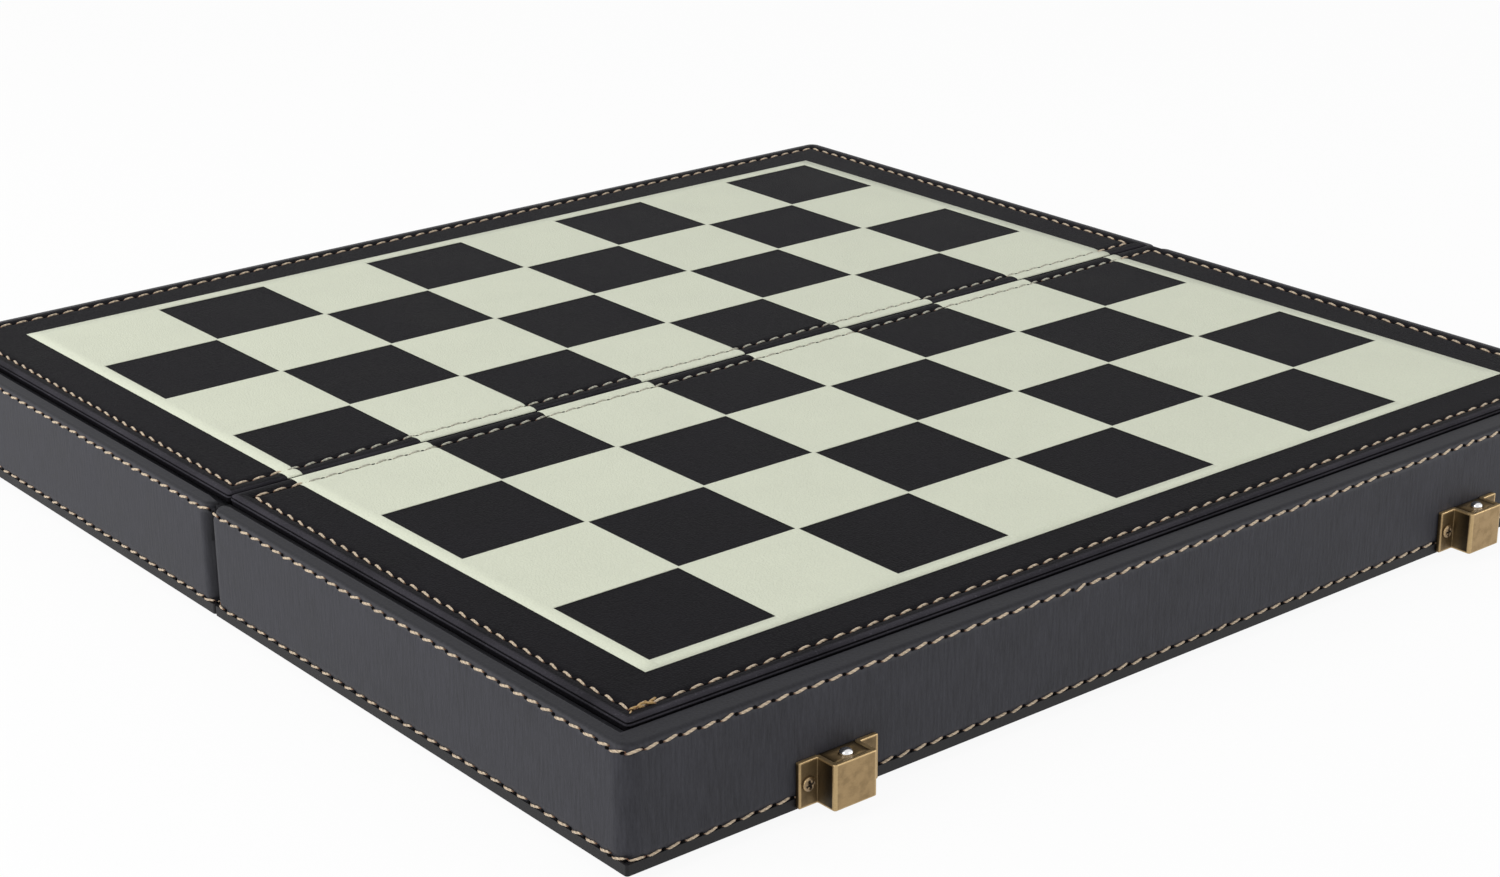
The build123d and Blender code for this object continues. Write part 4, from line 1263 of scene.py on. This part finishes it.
class CHESSBOARD_OT_stitching(bpy.types.Operator):
    """Sew the covers: one row round each panel and two round each half's walls"""
    bl_idname = "chessboard.stitching"
    bl_label = "Stitching"

    def execute(self, context):
        scene = context.scene
        covers, stitches = scene.board_covers, scene.board_stitches
        plain, inked, hole, knot = (finish_of(scene.board_colours, key)
                                    for key in ("thread", "inked_thread", "needle_hole", "knotted_thread"))
        field = SQUARES / 2 * scene.board_print.square
        for half in HALVES:
            panel, side = panel_stitch_places(covers, stitches)
            places = [panel]
            on_ivory = (side == 0) & (np.abs(panel[0][:, 0]) < field)
            turn = 1 if half == "catch_half" else -1
            sense = np.where(side % 2 == 0, turn, -turn)
            for name, chosen, finish, slot in (("_seam_stitches_inked", on_ivory, inked, "ivory_print"),
                                               ("_panel_stitches", ~on_ivory, plain, "black_leather")):
                row = (given[chosen] for given in panel)
                add_stitches(half + name, half, *row, stitches, finish, slot, sense[chosen])
            for name, way in (("upper", covers.upper_line), ("lower", covers.lower_line)):
                wall = wall_stitch_places(covers, stitches, way, name == "lower")
                add_stitches(f"{half}_{name}_wall_stitches", half, *wall, stitches, plain, "side_leather", turn)
                places.append(wall)
            add_needle_holes(half, places, stitches, hole)
        add_knot(HALVES[0], covers, stitches, knot)
        return {"FINISHED"}


class CHESSBOARD_OT_inserts(bpy.types.Operator):
    """Add the flocked inserts and the lining behind them"""
    bl_idname = "chessboard.inserts"
    bl_label = "Inserts"

    def execute(self, context):
        inserts = context.scene.board_inserts
        flock = finish_of(context.scene.board_colours, "flock")
        for half in HALVES:
            for kind, start, lengths, width in (
                    ("officer", inserts.officer_start, officer_lengths(inserts), inserts.officer_width),
                    ("pawn", inserts.pawn_start, [inserts.pawn_length] * SQUARES, inserts.pawn_width)):
                add_insert(f"{half}_{kind}_insert", half, kind + "_foam", start, lengths, width, inserts, flock)
            add_lining(half, flock)
        return {"FINISHED"}


class CHESSBOARD_OT_latches(bpy.types.Operator):
    """Add the latch and strike brackets with their push buttons, springs and screws, and the hinges' screws"""
    bl_idname = "chessboard.latches"
    bl_label = "Latches"

    def execute(self, context):
        latches = context.scene.board_latches
        button, spring, sheet, screw = (finish_of(context.scene.board_colours, key) for key in (
            "button_metal", "spring_metal", "antique_brass_sheet", "screw_metal_finish"))
        middles = {}
        for side in SIDES:
            low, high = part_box(side + "_latch_button")
            middles[side] = (low.x + high.x) / 2
            add_button(side, middles[side], latches, button)
            add_spring(side, middles[side], latches, spring)
        reach = (latches.box_width + latches.flange_width) / 4
        places = [middles[side] + sign * reach for side in SIDES for sign in (-1, 1)]
        for half in HALVES:
            for side in SIDES:
                add_bracket(side, half, middles[side], latches, sheet)
            add_flange_screws(half, places, latches, screw)
            add_hinge_screws(half, latches, screw)
        return {"FINISHED"}


class CHESSBOARD_OT_finishes(bpy.types.Operator):
    """Give the boards, trims, hinges and latches their finishes"""
    bl_idname = "chessboard.finishes"
    bl_label = "Finishes"

    def execute(self, context):
        looks = {"board": "boards", "rim_trim": "edge_strip", "antique_brass": "antique_brass_sheet",
                 "hinge_brass": "hinge_metal", "screw_metal": "screw_metal_finish",
                 "bright_button": "button_metal", "spring_steel": "spring_metal"}
        for row in frame["record"]["subparts"]:
            slot = row["material_slot"]
            if slot in looks:
                node = frame["nodes"][row["node"]]
                node.data.materials.clear()
                node.data.materials.append(finish_of(context.scene.board_colours, looks[slot]))
        return {"FINISHED"}


def area_lamp(name, place, aim, watts, width, height):
    """Rectangular lamp at a place, turned towards an aim."""
    data = bpy.data.lights.new(name, "AREA")
    data.shape = "RECTANGLE"
    data.energy = watts
    data.size, data.size_y = width, height
    lamp = bpy.data.objects.new(name, data)
    bpy.context.scene.collection.objects.link(lamp)
    lamp.rotation_mode = "QUATERNION"
    lamp.rotation_quaternion = (Vector(aim) - Vector(place)).to_track_quat("-Z", "Y")
    lamp.location = place


def add_floor(lift):
    """Square floor: a matte white that is lifted towards plain white where the camera sees it."""
    reach = 6.0
    mesh = bpy.data.meshes.new("floor")
    mesh.from_pydata([(-reach, -reach, 0), (reach, -reach, 0), (reach, reach, 0), (-reach, reach, 0)], [],
                     [(0, 1, 2, 3)])
    floor = bpy.data.objects.new("floor", mesh)
    bpy.context.scene.collection.objects.link(floor)
    f = Finish("studio_floor")
    matte = f.node("ShaderNodeBsdfDiffuse", {}, {"Color": (0.9, 0.9, 0.9, 1.0)})
    white = f.node("ShaderNodeEmission", {}, {"Color": (1.0, 1.0, 1.0, 1.0)})
    mixed = f.node("ShaderNodeMixShader", {}, {0: f.seen() * lift, 1: matte, 2: white})
    f.node("ShaderNodeOutputMaterial", {}, {"Surface": mixed})
    mesh.materials.append(f.material)


def add_surroundings(strength):
    """White surroundings, dimmed except where the camera sees them."""
    world = bpy.data.worlds.new("surroundings")
    bpy.context.scene.world = world
    world.use_nodes = True
    w = Shader(world.node_tree)
    dim, plain = (w.node("ShaderNodeBackground", {}, {"Color": (1.0, 1.0, 1.0, 1.0), "Strength": bright})
                  for bright in (strength, 1.0))
    mixed = w.node("ShaderNodeMixShader", {}, {0: w.seen(), 1: dim, 2: plain})
    w.node("ShaderNodeOutputWorld", {}, {"Surface": mixed})


class CHESSBOARD_OT_studio(bpy.types.Operator):
    """Add the floor, the white surroundings, the lamps and the camera"""
    bl_idname = "chessboard.studio"
    bl_label = "Studio"

    def execute(self, context):
        scene, studio = context.scene, context.scene.board_studio
        add_floor(studio.floor_lift)
        add_surroundings(studio.world)
        area_lamp("key_lamp", (-1.15, 0.05, 0.8), (0, 0, 0), studio.key, 0.9, 0.7)
        area_lamp("fill_lamp", (0.5, -1.2, 0.8), (0, 0, 0), studio.fill, 1.0, 0.8)
        area_lamp("side_lamp", (0.55, -0.62, 0.16), (0.1, -0.15, 0.015), studio.side, 0.4, 0.3)
        area_lamp("far_lamp", (-0.6, 0.45, 0.25), (-0.15, 0.1, 0.015), studio.far, 0.4, 0.3)

        data = bpy.data.cameras.new("camera")
        data.sensor_fit = "HORIZONTAL"
        data.sensor_width = 36.0
        data.lens = 67.153
        camera = bpy.data.objects.new("camera", data)
        scene.collection.objects.link(camera)
        right = (0.77437066, -0.63269518, -0.00684762)
        up = (0.22877748, 0.26988328, 0.9353202)
        back = (-0.58992453, -0.7258511, 0.35373611)
        place = (-0.411955, -0.508442, 0.25482)
        camera.matrix_world = Matrix([*zip(right, up, back, place), (0, 0, 0, 1)])
        scene.camera = camera
        scene.view_settings.view_transform = "Standard"
        return {"FINISHED"}


OPERATORS = (CHESSBOARD_OT_playing_covers, CHESSBOARD_OT_ivory_print, CHESSBOARD_OT_side_covers,
             CHESSBOARD_OT_stitching, CHESSBOARD_OT_inserts, CHESSBOARD_OT_latches, CHESSBOARD_OT_finishes,
             CHESSBOARD_OT_studio)
SETTINGS = {"board_covers": CoverSizes, "board_print": PrintSizes, "board_stitches": StitchSizes,
            "board_inserts": InsertSizes, "board_latches": LatchSizes, "board_colours": BoardColours,
            "board_studio": StudioSettings}


class CHESSBOARD_PT_panel(bpy.types.Panel):
    """Lists the steps that build the board and its settings"""
    bl_idname = "CHESSBOARD_PT_panel"
    bl_label = "Folding chess board"
    bl_space_type = "VIEW_3D"
    bl_region_type = "UI"
    bl_category = "Chess board"

    def draw(self, context):
        for operator in OPERATORS:
            self.layout.operator(operator.bl_idname)
        for key, group in SETTINGS.items():
            box = self.layout.box()
            for name in group.__annotations__:
                box.prop(getattr(context.scene, key), name)


CLASSES = (*SETTINGS.values(), *OPERATORS, CHESSBOARD_PT_panel)


def register():
    for kind in CLASSES:
        bpy.utils.register_class(kind)
    for key, group in SETTINGS.items():
        setattr(bpy.types.Scene, key, PointerProperty(type=group))


def unregister():
    for key in SETTINGS:
        delattr(bpy.types.Scene, key)
    for kind in reversed(CLASSES):
        bpy.utils.unregister_class(kind)


def main():
    """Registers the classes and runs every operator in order."""
    register()
    for operator in OPERATORS:
        group, name = operator.bl_idname.split(".")
        getattr(getattr(bpy.ops, group), name)()


if __name__ == "__main__":
    main()
